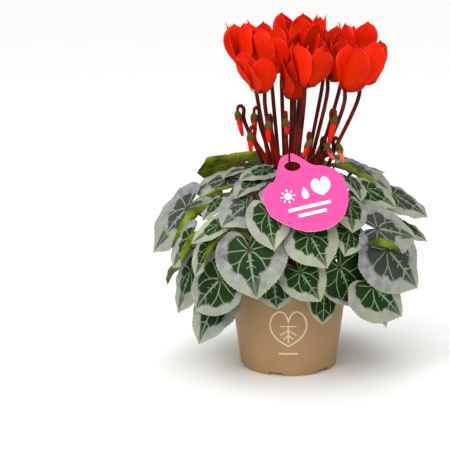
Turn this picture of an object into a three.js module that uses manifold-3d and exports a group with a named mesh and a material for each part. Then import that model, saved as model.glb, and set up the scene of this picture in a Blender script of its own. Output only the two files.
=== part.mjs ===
// A potted florist's cyclamen, in millimetres, +Z up, seen from -Y.
// The origin is the centre of the pot's underside, on the surface that the pot stands on.
import * as THREE from "three";
import { mergeVertices } from "three/addons/utils/BufferGeometryUtils.js";
import Module from "manifold-3d";

// ---- Driving dimensions ----
const CLEARANCE = 0.3; // between pieces that touch
const SLIVER = 0.02;
const RIM_RADIUS = 64.6;
const FOOT_RADIUS = 51;
const POT_HEIGHT = 95;
const LIP_HEIGHT = 10;
const LIP_PROUD = 1.4;
const WALL = 1.8;
const POT_SIDES = 36;
const NOTCH_COUNT = 6; // drain slots cut through the foot's corner
const NOTCH_WIDTH = 15;
const NOTCH_HEIGHT = 4;
const NOTCH_DEPTH = 8;
const FLOOR = 2.5; // thickness of the pot's floor
const SOIL_TOP = 84;
const CROWN_Z = 86; // floor of the dish in the tuber, where the stems stand
const CROWN_RADIUS = 28.5;
const TUBER_RADIUS = 34;
const TUBER_DEPTH = 18;

const BLADE = 0.8; // thickness of a leaf
const PETIOLE_RADIUS = 1.4;
const FORK_RADIUS = 1.9;
const FORK_HEIGHT = 7; // a shoot's leaves part this far above the crown
const RIM_POINTS = 16; // corners of a blade's edge, alternately a tooth's tip and its gap
const TOOTH = 0.04; // a tooth's height, in leaf lengths
const INNER_SHARE = 0.55; // the ring of corners between a blade's centre and its edge
const LOBE_SHARE = 0.85; // how far the lobes reach back behind the notch, against the formula
const KNEE_RISE = 0.68; // height of a leaf stalk's bend, as a share of its whole rise
const KNEE_LOWEST = 102; // and every leaf stalk clears the pot's rim
const HOLLOW = [7, 1.5]; // where a leaf stalk starts to curve: below the blade and behind the notch
const OUTER_RING = 25;
const INNER_RING = 17.5;

const PETAL = 0.7; // thickness of a petal
const PETAL_RISE = 44; // height of a bloom's petals above its tube's mouth
const PETAL_CUP = 0.22; // how far a petal's edges stand in from its middle, against its half width
const PETAL_SWIRL = [20, 8]; // degrees that a petal turns about its midrib, at the claw and on to the tip
const TUBE_RADIUS = 4.3;
const TUBE_LENGTH = 8;
const STALK_RADIUS = 1.6;
const STALK_RING = 12; // radius of the stalks' bundle on the crown
const STALK_CLOSE = 0.13; // how far the stalks draw together at the foot, against their tops
const BUNDLE_HEIGHT = 16; // where the flower stalks part from each other
const STALK_FAN = [[165, 0.36], [222, 0.6]]; // heights, and there how much of the stalk's reach is made
const BLOOM_HOOK = [8, 18]; // reach of the hook over a bloom, and its length below the bloom's tube
const BUD_HOOK = [7, 8];
const BUD_RADIUS = 3.3;

const TAG_THICK = 1;
const TAG_LEAN = 35; // degrees back from upright
const TAG_CENTRE = [17.3, -102, 208];
const TAG_HOLE = [-13.4, 27.2, 8.2, 5.5]; // centre and half sizes of the hanging hole
const TAG_SLOT = 2; // width of the slot that opens the hole

// ---- What grows where ----
// Each shoot is one body: its leaves share a foot on the crown, on ring 0 outside or ring 1 inside.
// A leaf gives the notch where its stalk joins, its tip, its width against length, its roll about the
// midrib in degrees, and how much its sides hang.
const SHOOTS = [
  { name: "leaf_01", ring: 0, leaves: [
    [[-38, -112, 151], [-32, -130, 107], 1.02, 0, 0.25],
    [[-14, -84, 113], [-12, -86, 82], 1.0, 0, 0.2],
  ] },
  { name: "leaf_02", ring: 0, leaves: [
    [[21, -114, 166], [38, -131, 140], 1.0, 6, 0.2],
    [[12, -109, 128], [32, -120, 102], 0.88, 0, 0.2],
  ] },
  { name: "leaf_03", ring: 0, leaves: [
    [[50, -90, 129], [69, -81, 84], 0.72, 10, 0.25],
    [[35, -78, 100], [36, -84, 66], 0.72, 0, 0.2],
  ] },
  { name: "leaf_04", ring: 0, leaves: [
    [[84, -81, 106], [117, -70, 72], 0.88, 0, 0.25],
    [[90, -46, 92], [105, -52, 55], 0.85, 0, 0.2],
  ] },
  { name: "leaf_05", ring: 0, leaves: [
    [[98, -72, 142], [134, -56, 98], 0.85, 18, 0.25],
    [[114, -28, 125], [136, -28, 90], 0.85, 18, 0.2],
  ] },
  { name: "leaf_06", ring: 0, leaves: [
    [[-67, -91, 116], [-100, -73, 78], 0.75, 0, 0.25],
    [[-60, -80, 112], [-62, -82, 82], 0.62, 0, 0.15],
  ] },
  { name: "leaf_07", ring: 0, leaves: [
    [[-70, -56, 88], [-97, -66, 42], 0.75, 0, 0.2],
    [[-100, -33, 108], [-118, -39, 65], 0.72, -16, 0.2],
  ] },
  { name: "leaf_08", ring: 0, leaves: [
    [[-80, -88, 148], [-95, -94, 120], 0.5, -20, 0.1],
    [[-98, -72, 154], [-120, -72, 124], 0.7, -10, 0.2],
  ] },
  { name: "leaf_09", ring: 1, leaves: [
    [[-69, -90, 172], [-97, -99, 156], 0.45, -10, 0.2],
  ] },
  { name: "leaf_10", ring: 1, leaves: [
    [[-103, -39, 176], [-143, -45, 135], 0.84, -20, 0.25],
    [[-53, 12, 214], [-97, 6, 209], 0.85, 48, 0.2],
  ] },
  { name: "leaf_11", ring: 1, leaves: [
    [[-62, -28, 205], [-102, -18, 194], 0.75, -8, 0.3],
    [[-46, -16, 214], [-68, -38, 212], 0.7, 0, 0.2],
    [[-24, -47, 218], [-50, -58, 214], 0.75, 0, 0.2],
  ] },
  { name: "leaf_12", ring: 1, leaves: [
    [[-42, -84, 190], [-66, -106, 176], 0.92, -10, 0.25],
    [[-35, -54, 208], [-53, -82, 200], 0.6, 0, 0.2],
  ] },
  { name: "leaf_13", ring: 1, leaves: [
    [[-73, -60, 187], [-87, -73, 173], 0.72, 0, 0.2],
  ] },
  { name: "leaf_14", ring: 1, leaves: [
    [[-20, -103, 186], [-14, -129, 157], 0.75, 0, 0.2],
    [[-4, -68, 207], [-8, -114, 194], 0.7, 10, 0.2],
  ] },
  { name: "leaf_15", ring: 1, leaves: [
    [[68, 6, 208], [110, -12, 192], 0.8, 22, 0.25],
    [[68, 36, 206], [104, 34, 204], 0.75, 12, 0.2],
    [[52, 34, 216], [72, 62, 212], 0.8, 0, 0.2],
  ] },
  { name: "leaf_16", ring: 0, leaves: [
    [[110, 2, 182], [147, -8, 164], 0.9, 24, 0.25],
    [[118, -8, 152], [148, -14, 138], 0.8, 15, 0.2],
  ] },
  { name: "leaf_17", ring: 1, leaves: [
    [[80, -32, 195], [112, -38, 181], 0.85, 15, 0.25],
  ] },
  { name: "leaf_18", ring: 0, leaves: [
    [[88, -80, 165], [130, -64, 154], 0.85, 0, 0.25],
  ] },
  { name: "leaf_19", ring: 1, leaves: [
    [[60, -78, 188], [64, -106, 170], 0.78, 0, 0.2],
    [[30, -68, 206], [37, -115, 195], 0.7, 10, 0.2],
  ] },
  { name: "leaf_20", ring: 0, leaves: [
    [[60, -94, 166], [56, -116, 148], 0.8, 0, 0.2],
  ] },
  { name: "leaf_21", ring: 1, leaves: [
    [[64, -37, 205], [75, -64, 194], 0.62, 0, 0.2],
  ] },
  { name: "leaf_22", ring: 0, leaves: [
    [[92, 48, 118], [124, 64, 80], 0.85, 12, 0.25],
    [[86, 46, 165], [126, 62, 146], 0.8, 12, 0.25],
  ] },
  { name: "leaf_23", ring: 0, leaves: [
    [[60, 88, 116], [82, 116, 78], 0.85, 12, 0.25],
    [[54, 84, 168], [74, 122, 148], 0.8, 12, 0.25],
  ] },
  { name: "leaf_24", ring: 0, leaves: [
    [[10, 104, 118], [14, 132, 80], 0.85, 12, 0.25],
    [[8, 96, 168], [10, 136, 148], 0.8, 12, 0.25],
  ] },
  { name: "leaf_25", ring: 0, leaves: [
    [[-42, 96, 116], [-56, 124, 78], 0.85, 12, 0.25],
    [[-38, 90, 168], [-54, 128, 148], 0.8, 12, 0.25],
  ] },
  { name: "leaf_26", ring: 0, leaves: [
    [[-86, 58, 118], [-112, 80, 80], 0.85, 12, 0.25],
    [[-80, 54, 168], [-114, 78, 148], 0.8, 12, 0.25],
  ] },
  { name: "leaf_27", ring: 0, leaves: [
    [[-104, 15, 122], [-136, 22, 84], 0.85, 12, 0.25],
    [[-104, 12, 168], [-140, 18, 150], 0.75, 12, 0.25],
  ] },
  { name: "leaf_28", ring: 1, leaves: [
    [[-18, 58, 212], [-32, 95, 198], 0.85, 8, 0.2],
    [[24, 59, 212], [34, 97, 198], 0.85, 8, 0.2],
  ] },
  { name: "leaf_29", ring: 1, leaves: [
    [[-50, 50, 205], [-79, 77, 188], 0.8, 12, 0.2],
  ] },
];

// Each bloom gives the centre of its mouth, how far its petals' tips lean in x and y, its turn about its
// own axis in degrees and its size against a full bloom of 47 mm.
const BLOOMS = [
  [[-43, 2, 316], [-6, 0], 0, 1.05],
  [[-22, 38, 315], [-4, 4], 25, 1.0],
  [[-14, -8, 312], [2, -2], 50, 0.98],
  [[10, 30, 321], [0, 3], 10, 1.0],
  [[24, -2, 324], [-2, -2], 40, 1.0],
  [[42, 48, 311], [2, 4], 15, 0.95],
  [[19, -48, 303], [0, -4], 30, 0.98],
  [[47, -22, 305], [6, -3], 5, 1.02],
  [[63, 18, 314], [4, 0], 35, 1.0],
  [[62, -54, 299], [19, -4], 20, 1.0],
  [[-28, -46, 297], [-6, -6], 45, 0.9],
  [[80, -16, 301], [5, 2], 0, 0.95],
  [[5, -23, 287], [0, -2], 25, 0.8],
  [[14, 66, 306], [0, 8], 42, 0.95],
];

// Each bud gives the point where its calyx hangs, the lean of its tip in x and y and its length.
const BUDS = [
  [[-52, -26, 276], [5, 0], 26],
  [[-35, -32, 275], [1, 0], 21],
  [[-20, -52, 270], [0, 0], 22],
  [[-38, -54, 259], [0, 0], 20],
  [[-3, -48, 272], [2, 0], 17],
  [[47, -56, 276], [-7, 0], 30],
  [[37, -58, 248], [8, 0], 17],
  [[50, -52, 247], [5, 0], 20],
  [[22, -66, 254], [-7, 0], 19],
];

// ---- Materials ----
const finish = (color, roughness) => new THREE.MeshStandardMaterial({ color, roughness, metalness: 0 });
const kraft = finish(0xb4936a, 0.8);
const peat = finish(0x2b1d14, 1);
const corm = finish(0x5a3b28, 0.9);
const leafGreen = finish(0x5d7a52, 0.6);
const maroon = finish(0x5a150c, 0.5);
const scarlet = finish(0xe81c08, 0.5);
const salmon = finish(0xe2462c, 0.5);
const pinkCard = finish(0xff56a8, 0.6);

// ---- Solids: manifold-3d joins and cuts closed meshes ----
const wasm = await Module();
wasm.setup();

function solidOf(geometry) {
  const bare = geometry.clone();
  bare.deleteAttribute("normal");
  bare.deleteAttribute("uv");
  const merged = mergeVertices(bare, 1e-3);
  return new wasm.Manifold(
    new wasm.Mesh({
      numProp: 3,
      vertProperties: merged.attributes.position.array,
      triVerts: new Uint32Array(merged.index.array),
    }),
  );
}

function geometryOf(solid) {
  const { vertProperties, triVerts } = solid.getMesh();
  const geometry = new THREE.BufferGeometry();
  geometry.setAttribute("position", new THREE.BufferAttribute(vertProperties, 3));
  geometry.setIndex(new THREE.BufferAttribute(triVerts, 1));
  geometry.computeVertexNormals();
  return geometry;
}

const plant = new THREE.Group();

// Edges shorter than SLIVER are closed up, because joined bodies meet in very thin triangles.
function addNode(name, solid, material) {
  const mesh = new THREE.Mesh(geometryOf(solid.simplify(SLIVER)), material);
  mesh.name = name;
  plant.add(mesh);
}

const vec = (x, y, z) => new THREE.Vector3(x, y, z);
const radians = THREE.MathUtils.degToRad;
const smooth = (t) => t * t * (3 - 2 * t);

// A body turned about the Z axis from a closed profile of [radius, height] pairs.
function turned(profile, sides) {
  const outline = profile.map(([r, z]) => new THREE.Vector2(r, z));
  return new THREE.LatheGeometry(outline, sides).rotateX(Math.PI / 2);
}

// A smooth curve whose even steps fall on its own points, so that a tight hook keeps its shape.
class KnottedCurve extends THREE.CatmullRomCurve3 {
  getUtoTmapping(u) {
    return u;
  }
}

// A round stem along points: a section with few sides, with a ring at each point.
function stem(points, radius, sides) {
  const section = new THREE.Shape();
  for (let i = 0; i < sides; i++) {
    const turn = (i / sides) * Math.PI * 2;
    const corner = [radius * Math.cos(turn), radius * Math.sin(turn)];
    if (i === 0) section.moveTo(...corner);
    else section.lineTo(...corner);
  }
  const extrudePath = new KnottedCurve(points, false, "centripetal");
  const steps = points.length - 1;
  return solidOf(new THREE.ExtrudeGeometry(section, { steps, bevelEnabled: false, extrudePath }));
}

// A thin body from a sheet: both faces share one pattern of triangles, and a strip closes the edge.
function thicken(front, faces, thickness) {
  const normals = front.map(() => vec(0, 0, 0));
  for (const [a, b, c] of faces) {
    const ab = front[b].clone().sub(front[a]);
    const ac = front[c].clone().sub(front[a]);
    const facing = ab.cross(ac);
    for (const corner of [a, b, c]) normals[corner].add(facing);
  }
  const back = front.map((point, i) => point.clone().addScaledVector(normals[i].normalize(), -thickness));
  const count = front.length;
  const index = [];
  const open = new Map();
  for (const [a, b, c] of faces) {
    index.push(a, b, c, a + count, c + count, b + count);
    for (const [from, to] of [[a, b], [b, c], [c, a]]) {
      if (!open.delete(to + "," + from)) open.set(from + "," + to, [from, to]);
    }
  }
  for (const [from, to] of open.values()) {
    index.push(from, from + count, to, to, from + count, to + count);
  }
  const geometry = new THREE.BufferGeometry().setFromPoints([...front, ...back]);
  geometry.setIndex(index);
  return solidOf(geometry);
}

// ---- Pot: one thin moulded wall with a lip, a flat foot and drain slots ----
const bodyRadius = (z) => FOOT_RADIUS + ((RIM_RADIUS - LIP_PROUD - FOOT_RADIUS) * z) / POT_HEIGHT;
const lipFoot = POT_HEIGHT - LIP_HEIGHT;

const potProfile = [
  [0, 0],
  [FOOT_RADIUS - 1, 0],
  [FOOT_RADIUS, 1],
  [bodyRadius(lipFoot), lipFoot],
  [RIM_RADIUS - 0.4, lipFoot],
  [RIM_RADIUS, POT_HEIGHT - 1],
  [RIM_RADIUS - 0.9, POT_HEIGHT],
  [RIM_RADIUS - LIP_PROUD - WALL, POT_HEIGHT],
  [bodyRadius(FLOOR) - WALL, FLOOR],
  [0, FLOOR],
];

let pot = solidOf(turned(potProfile, POT_SIDES));
for (let i = 0; i < NOTCH_COUNT; i++) {
  const slot = new THREE.BoxGeometry(NOTCH_DEPTH, NOTCH_WIDTH, NOTCH_HEIGHT * 2);
  slot.translate(FOOT_RADIUS, 0, 0);
  slot.rotateZ(radians((i + 0.25) * (360 / NOTCH_COUNT)));
  pot = pot.subtract(solidOf(slot));
}
addNode("pot", pot, kraft);

// ---- Potting mix, with a hollow for the tuber ----
const soilWall = (z) => bodyRadius(z) - WALL - CLEARANCE;
const soilFloor = FLOOR + CLEARANCE;
const tuberFoot = CROWN_Z - TUBER_DEPTH;

addNode("soil", solidOf(turned([
  [0, soilFloor],
  [soilWall(soilFloor), soilFloor],
  [soilWall(SOIL_TOP - 2), SOIL_TOP - 2],
  [(soilWall(SOIL_TOP) + TUBER_RADIUS) / 2, SOIL_TOP + 1],
  [TUBER_RADIUS + 2, SOIL_TOP],
  [TUBER_RADIUS + CLEARANCE, SOIL_TOP - 3],
  [TUBER_RADIUS * 0.6, tuberFoot - CLEARANCE],
  [0, tuberFoot - CLEARANCE],
], 28)), peat);

// ---- Tuber: a flattened corm with a dished crown ----
addNode("tuber", solidOf(turned([
  [0, tuberFoot],
  [TUBER_RADIUS * 0.6, tuberFoot],
  [TUBER_RADIUS, SOIL_TOP - 3],
  [TUBER_RADIUS - 1, CROWN_Z + 1],
  [TUBER_RADIUS - 3, CROWN_Z + 3],
  [CROWN_RADIUS, CROWN_Z + 2.5],
  [CROWN_RADIUS - 1, CROWN_Z],
  [0, CROWN_Z],
], 18)), corm);

// ---- Leaves ----
// Reach of a heart-shaped blade from its notch, in leaf lengths: q is 0 at the tip and 1 at the notch.
function heartReach(q) {
  const tip = 0.19 * Math.exp(-q / 0.1);
  const lobes = 0.22 * q ** 2.2;
  const sinus = 0.56 * Math.exp(-(((1 - q) / 0.09) ** 1.6));
  return 0.81 + tip - lobes - sinus;
}

// A flat unit blade: its centre, a ring half way out, and the toothed edge, with the faces between them.
const half = RIM_POINTS / 2;
const flatBlade = [[0, 0]];
for (let i = 0; i < half; i++) {
  const turn = ((i + 0.5) / half) * 2 - 1;
  const reach = INNER_SHARE * heartReach(Math.abs(turn));
  flatBlade.push([reach * Math.sin(turn * Math.PI), reach * Math.cos(turn * Math.PI)]);
}
for (let i = 0; i < RIM_POINTS; i++) {
  const turn = (i / RIM_POINTS) * 2 - 1;
  const reach = heartReach(Math.abs(turn)) + (i % 2 ? -TOOTH : i ? TOOTH / 2 : 0);
  flatBlade.push([reach * Math.sin(turn * Math.PI), reach * Math.cos(turn * Math.PI)]);
}
const bladeFaces = [];
for (let i = 0; i < half; i++) {
  const next = (i + 1) % half;
  const inner = [1 + i, 1 + next];
  const edge = [0, 1, 2, 3].map((k) => 1 + half + ((2 * i + k) % RIM_POINTS));
  bladeFaces.push([0, inner[1], inner[0]]);
  bladeFaces.push([inner[0], edge[1], edge[0]]);
  bladeFaces.push([inner[0], edge[2], edge[1]]);
  bladeFaces.push([inner[0], inner[1], edge[2]]);
}

// The axes of a blade: along its midrib, across it and out of its face.
function bladeAxes(notch, tip, roll) {
  const along = tip.clone().sub(notch).normalize();
  const outward = vec(notch.x, notch.y, (notch.z - 110) * 1.2 + 12).normalize();
  const face = outward.addScaledVector(along, -outward.dot(along)).normalize();
  face.applyAxisAngle(along, radians(roll));
  return { along, face, across: new THREE.Vector3().crossVectors(along, face) };
}

// Height of a blade above its own plane, in leaf lengths: its tip and sides hang and its edge waves.
function bladeHeight(across, along, hang, phase) {
  const reach = Math.hypot(across, along);
  const wave = 0.035 * reach * reach * Math.sin(5 * Math.atan2(across, along) + phase);
  return 0.04 - 0.14 * along * along - hang * across * across + wave;
}

function blade([notchAt, tipAt, width, roll, hang]) {
  const notch = vec(...notchAt);
  const tip = vec(...tipAt);
  const length = notch.distanceTo(tip);
  const axes = bladeAxes(notch, tip, roll);
  const phase = notchAt[0] + notchAt[2];
  const points = flatBlade.map(([x, y]) => {
    const side = x * width;
    const down = y < 0 ? y * LOBE_SHARE : y;
    return notch
      .clone()
      .addScaledVector(axes.across, side * length)
      .addScaledVector(axes.along, down * length)
      .addScaledVector(axes.face, bladeHeight(side, down, hang, phase) * length);
  });
  return thicken(points, bladeFaces, BLADE);
}

// A leaf stalk: straight up from its foot, over or under the leaves on its way, and into the notch.
function petiole(fork, [notchAt, tipAt, , roll]) {
  const notch = vec(...notchAt);
  const axes = bladeAxes(notch, vec(...tipAt), roll);
  const length = notch.distanceTo(vec(...tipAt));
  const join = notch.clone().addScaledVector(axes.face, 0.04 * length - BLADE * 0.75);
  const below = join.clone().addScaledVector(axes.face, -HOLLOW[0]).addScaledVector(axes.along, -HOLLOW[1]);
  const knee = fork.clone().lerp(join, 0.5);
  knee.z = Math.max(CROWN_Z + (join.z - CROWN_Z) * KNEE_RISE, KNEE_LOWEST);
  return stem([fork, knee, below, join], PETIOLE_RADIUS, 4);
}

// The feet stand round their ring of the crown in the order of their leaves' bearings, half way
// between those bearings and even steps, and each foot is one short stem that its leaves part from.
const bearing = ({ leaves }) => Math.atan2(leaves[0][0][1], leaves[0][0][0]);
for (const [ring, ringRadius] of [OUTER_RING, INNER_RING].entries()) {
  const shoots = SHOOTS.filter((shoot) => shoot.ring === ring).sort((a, b) => bearing(a) - bearing(b));
  const step = (i) => ((i + 0.5) / shoots.length) * 2 * Math.PI - Math.PI;
  const drift = shoots.reduce((sum, shoot, i) => sum + bearing(shoot) - step(i), 0) / shoots.length;
  shoots.forEach((shoot, i) => {
    const turn = (step(i) + drift + bearing(shoot)) / 2;
    const foot = vec(ringRadius * Math.cos(turn), ringRadius * Math.sin(turn), CROWN_Z + CLEARANCE);
    const fork = foot.clone().setZ(CROWN_Z + FORK_HEIGHT);
    const sheath = stem([foot, fork.clone().setZ(fork.z + 3)], FORK_RADIUS, 5);
    const parts = shoot.leaves.map((leaf) => blade(leaf).add(petiole(fork, leaf)));
    addNode(shoot.name, parts.reduce((whole, part) => whole.add(part), sheath), leafGreen);
  });
}

// ---- Flower stalks: all rise from the middle of the crown as one body, and hook over at the top ----
// The stalk leans out in a straight fan above the leaves, passes the flower on its inner side and
// turns down into it.
function stalk(end, [hook, drop]) {
  const foot = vec(end.x * STALK_CLOSE, end.y * STALK_CLOSE, CROWN_Z + BUNDLE_HEIGHT - 3);
  const inward = vec(-end.x, -end.y, 0).normalize();
  const beside = end.clone().addScaledVector(inward, hook);
  return stem([
    foot,
    ...STALK_FAN.map(([height, share]) => vec(beside.x * share, beside.y * share, height)),
    beside.clone().setZ(end.z - drop),
    beside.clone().setZ(end.z + hook * 0.25),
    end.clone().addScaledVector(inward, hook * 0.6).setZ(end.z + hook * 0.75),
    end.clone().addScaledVector(inward, hook * 0.12).setZ(end.z + hook * 0.62),
    end.clone().setZ(end.z + CLEARANCE),
  ], STALK_RADIUS, 4);
}

const crownBundle = solidOf(turned([
  [0, CROWN_Z + CLEARANCE],
  [STALK_RING, CROWN_Z + CLEARANCE],
  [STALK_RING, CROWN_Z + BUNDLE_HEIGHT],
  [0, CROWN_Z + BUNDLE_HEIGHT],
], 10));

let stalks = crownBundle;
BLOOMS.forEach(([mouth, , , size]) => {
  const end = vec(...mouth);
  end.z += TUBE_LENGTH * size;
  stalks = stalks.add(stalk(end, BLOOM_HOOK));
});
BUDS.forEach(([calyx]) => {
  stalks = stalks.add(stalk(vec(...calyx), BUD_HOOK));
});
addNode("flower_stalks", stalks, maroon);

// ---- Blooms: a short tube that looks down, with five petals swept up from its mouth ----
// Run of a petal from the mouth: how far out, how far up and half its width, for t from claw to tip.
const PETAL_OUT = [3, 8.5, 14, 12];
const PETAL_UP = [0.8, 1.2, 20, 45];
const PETAL_HALF = [1.8, 3.6, 11.5, 4];
const PETAL_TURNS = [64, 128, 192, 256, 320];

function bloom([mouthAt, [leanX, leanY], twist, size]) {
  const mouth = vec(...mouthAt);
  const inner = Math.atan2(-mouth.y, -mouth.x);
  let whole = solidOf(turned([
    [0, 0],
    [TUBE_RADIUS, 0],
    [TUBE_RADIUS * 0.8, TUBE_LENGTH],
    [0, TUBE_LENGTH],
  ], 6));
  PETAL_TURNS.forEach((turn, k) => {
    const bearingOut = vec(Math.cos(radians(turn)), Math.sin(radians(turn)), 0);
    const sideways = vec(-bearingOut.y, bearingOut.x, 0);
    const points = [];
    const faces = [];
    PETAL_OUT.forEach((out, row) => {
      const uneven = ((twist + k * 31) % 20) - 10;
      const swirl = radians(PETAL_SWIRL[0] + PETAL_SWIRL[1] * smooth(row / 3) + uneven);
      const across = sideways.clone().multiplyScalar(Math.cos(swirl));
      across.addScaledVector(bearingOut, Math.sin(swirl));
      const centre = bearingOut.clone().multiplyScalar(out + ((k * 7 + twist) % 5) * 0.1 * row);
      centre.z = PETAL_UP[row] - ((k * 5 + twist) % 4) * row * 0.4;
      for (const side of [-1, 0, 1]) {
        const point = centre.clone().addScaledVector(across, side * PETAL_HALF[row]);
        point.addScaledVector(bearingOut, side ? -PETAL_HALF[row] * PETAL_CUP : 0);
        points.push(point);
      }
      if (row) {
        const a = row * 3 - 3;
        for (const left of [a, a + 1]) {
          faces.push([left, left + 1, left + 4], [left, left + 4, left + 3]);
        }
      }
    });
    whole = whole.add(thicken(points, faces, PETAL));
  });
  const geometry = geometryOf(whole);
  geometry.rotateZ(inner);
  geometry.scale(size, size, size);
  const position = geometry.attributes.position;
  for (let i = 0; i < position.count; i++) {
    const lean = Math.max(position.getZ(i) - TUBE_LENGTH, 0) / (PETAL_RISE * size);
    position.setX(i, position.getX(i) + leanX * lean);
    position.setY(i, position.getY(i) + leanY * lean);
  }
  geometry.translate(mouth.x, mouth.y, mouth.z);
  return solidOf(geometry);
}

BLOOMS.forEach((row, i) => {
  addNode("bloom_" + String(i + 1).padStart(2, "0"), bloom(row), scarlet);
});

// ---- Buds: slim cones that hang from their hooks ----
BUDS.forEach(([calyx, [leanX, leanY], length], i) => {
  const cone = turned([
    [0, -length],
    [BUD_RADIUS * 0.6, -length * 0.75],
    [BUD_RADIUS, -length * 0.3],
    [BUD_RADIUS * 0.7, 0],
    [0, 0],
  ], 6);
  const hang = new THREE.Matrix4().makeShear(0, 0, 0, 0, -leanX / length, -leanY / length);
  cone.applyMatrix4(hang).translate(...calyx);
  addNode("bud_" + String(i + 1).padStart(2, "0"), solidOf(cone), salmon);
});

// ---- Care tag: a thin card with a hooked top, lying on the leaves in front ----
// Its outline in its own plane, from the hook's tip round by the right.
const TAG_OUTLINE = [
  [-13.4, 41.1], [-2.2, 34.3], [6.6, 28.4], [17.1, 27.7], [29, 23.2], [35.7, 14.8], [40.9, 1.1],
  [39.4, -19], [32.1, -31.1], [20.8, -39], [5.8, -42], [-6.8, -40.4], [-31.7, -28.5], [-38.9, -17.4],
  [-41.8, -7.4], [-41.8, 1.1], [-35.4, 8.4], [-30.6, 11.6], [-27.2, 28.5], [-23.8, 37.4],
];

const card = new THREE.Shape(new THREE.SplineCurve(
  [...TAG_OUTLINE, TAG_OUTLINE[0]].map(([x, y]) => new THREE.Vector2(x, y)),
).getPoints(36).slice(0, -1));
const cardSolid = solidOf(new THREE.ExtrudeGeometry(card, { depth: TAG_THICK, bevelEnabled: false }));
const [holeX, holeY, holeHalfX, holeHalfY] = TAG_HOLE;
const hole = new THREE.CylinderGeometry(1, 1, TAG_THICK * 4, 14).rotateX(Math.PI / 2);
hole.scale(holeHalfX, holeHalfY, 1).translate(holeX, holeY, 0);
const slot = new THREE.BoxGeometry(TAG_SLOT, 20, TAG_THICK * 4).translate(holeX - 3, holeY + 13, 0);

const tag = new THREE.Mesh(geometryOf(cardSolid.subtract(solidOf(hole)).subtract(solidOf(slot))), pinkCard);
tag.name = "tag";
tag.rotation.x = radians(90 - TAG_LEAN);
tag.position.set(...TAG_CENTRE);
plant.add(tag);

export default plant;
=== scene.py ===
import math

import bpy
import numpy as np
from mathutils import Matrix, Vector


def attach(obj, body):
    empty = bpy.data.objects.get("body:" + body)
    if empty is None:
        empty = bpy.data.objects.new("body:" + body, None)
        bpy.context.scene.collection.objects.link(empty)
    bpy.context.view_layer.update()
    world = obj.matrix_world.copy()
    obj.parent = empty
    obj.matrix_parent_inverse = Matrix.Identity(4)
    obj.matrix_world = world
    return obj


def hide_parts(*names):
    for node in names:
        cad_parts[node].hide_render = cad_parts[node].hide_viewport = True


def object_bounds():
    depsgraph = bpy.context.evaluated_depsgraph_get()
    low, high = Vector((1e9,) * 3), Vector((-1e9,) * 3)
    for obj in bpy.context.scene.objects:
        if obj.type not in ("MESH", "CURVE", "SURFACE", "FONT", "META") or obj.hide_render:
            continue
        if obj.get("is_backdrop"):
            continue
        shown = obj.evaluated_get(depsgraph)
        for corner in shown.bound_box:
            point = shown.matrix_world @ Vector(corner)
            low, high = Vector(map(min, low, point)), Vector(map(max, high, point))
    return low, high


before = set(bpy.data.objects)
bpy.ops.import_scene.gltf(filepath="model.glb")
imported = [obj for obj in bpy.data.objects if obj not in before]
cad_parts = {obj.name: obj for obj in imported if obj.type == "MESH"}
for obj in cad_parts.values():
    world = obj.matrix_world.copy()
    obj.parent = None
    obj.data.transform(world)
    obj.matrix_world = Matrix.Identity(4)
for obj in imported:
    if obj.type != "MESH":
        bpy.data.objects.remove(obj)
cad_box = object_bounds()


# ---- Room: a pale seamless floor, soft studio lights and the photograph's viewpoint ----
# The plant stands alone on a plain near-white surface, with large soft boxes over it and to its left,
# seen from a little above through a long lens.
def linear(code):
    """A colour's sRGB hex code as linear RGBA."""
    parts = [int(code[i:i + 2], 16) / 255 for i in (1, 3, 5)]
    return tuple(c / 12.92 if c <= 0.04045 else ((c + 0.055) / 1.055) ** 2.4 for c in parts) + (1.0,)


def add_node(tree, kind, inputs=None, **settings):
    """Adds one node. inputs gives each input, by name or number, a value, a socket or a node to link."""
    made = tree.nodes.new(kind)
    for name, value in settings.items():
        setattr(made, name, value)
    for key, value in (inputs or {}).items():
        if isinstance(value, bpy.types.Node):
            value = value.outputs[0]
        if isinstance(value, bpy.types.NodeSocket):
            tree.links.new(value, made.inputs[key])
        else:
            made.inputs[key].default_value = value
    return made


def new_surface(name, roughness, gloss=0.5):
    """An empty material with its own roughness and gloss, its node tree and its shader."""
    surface = bpy.data.materials.new(name)
    surface.use_nodes = True
    shader = surface.node_tree.nodes["Principled BSDF"]
    shader.inputs["Roughness"].default_value = roughness
    shader.inputs["Specular IOR Level"].default_value = gloss
    return surface, surface.node_tree, shader


# The camera stands 1.5 m in front of the pot, and looks down at it with a slight turn to the left.
CAMERA_AT = Vector((0, -1.4656, 0.4945))
CAMERA_PITCH = math.radians(12.3)
FOCAL_PIXELS = 1423.8
FRAME_PIXELS = 450
PLANT_PIXEL = (288.4, 202.64)  # the pixel that lies straight ahead of the camera before its turn
SENSOR = 36.0

ahead = Vector((0, math.cos(CAMERA_PITCH), -math.sin(CAMERA_PITCH)))
upward = Vector((0, math.sin(CAMERA_PITCH), math.cos(CAMERA_PITCH)))
aim_right = (FRAME_PIXELS / 2 - PLANT_PIXEL[0]) / FOCAL_PIXELS
aim_up = (PLANT_PIXEL[1] - FRAME_PIXELS / 2) / FOCAL_PIXELS
aim = (ahead + Vector((aim_right, 0, 0)) + upward * aim_up).normalized()
camera_right = aim.cross(upward).normalized()
camera_up = camera_right.cross(aim)
camera_data = bpy.data.cameras.new("camera")
camera_data.sensor_width = SENSOR
camera_data.lens = SENSOR * FOCAL_PIXELS / FRAME_PIXELS
camera = bpy.data.objects.new("camera", camera_data)
camera_turn = Matrix((camera_right, camera_up, -aim)).transposed()
camera.matrix_world = Matrix.Translation(CAMERA_AT) @ camera_turn.to_4x4()
bpy.context.scene.collection.objects.link(camera)
bpy.context.scene.camera = camera

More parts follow.
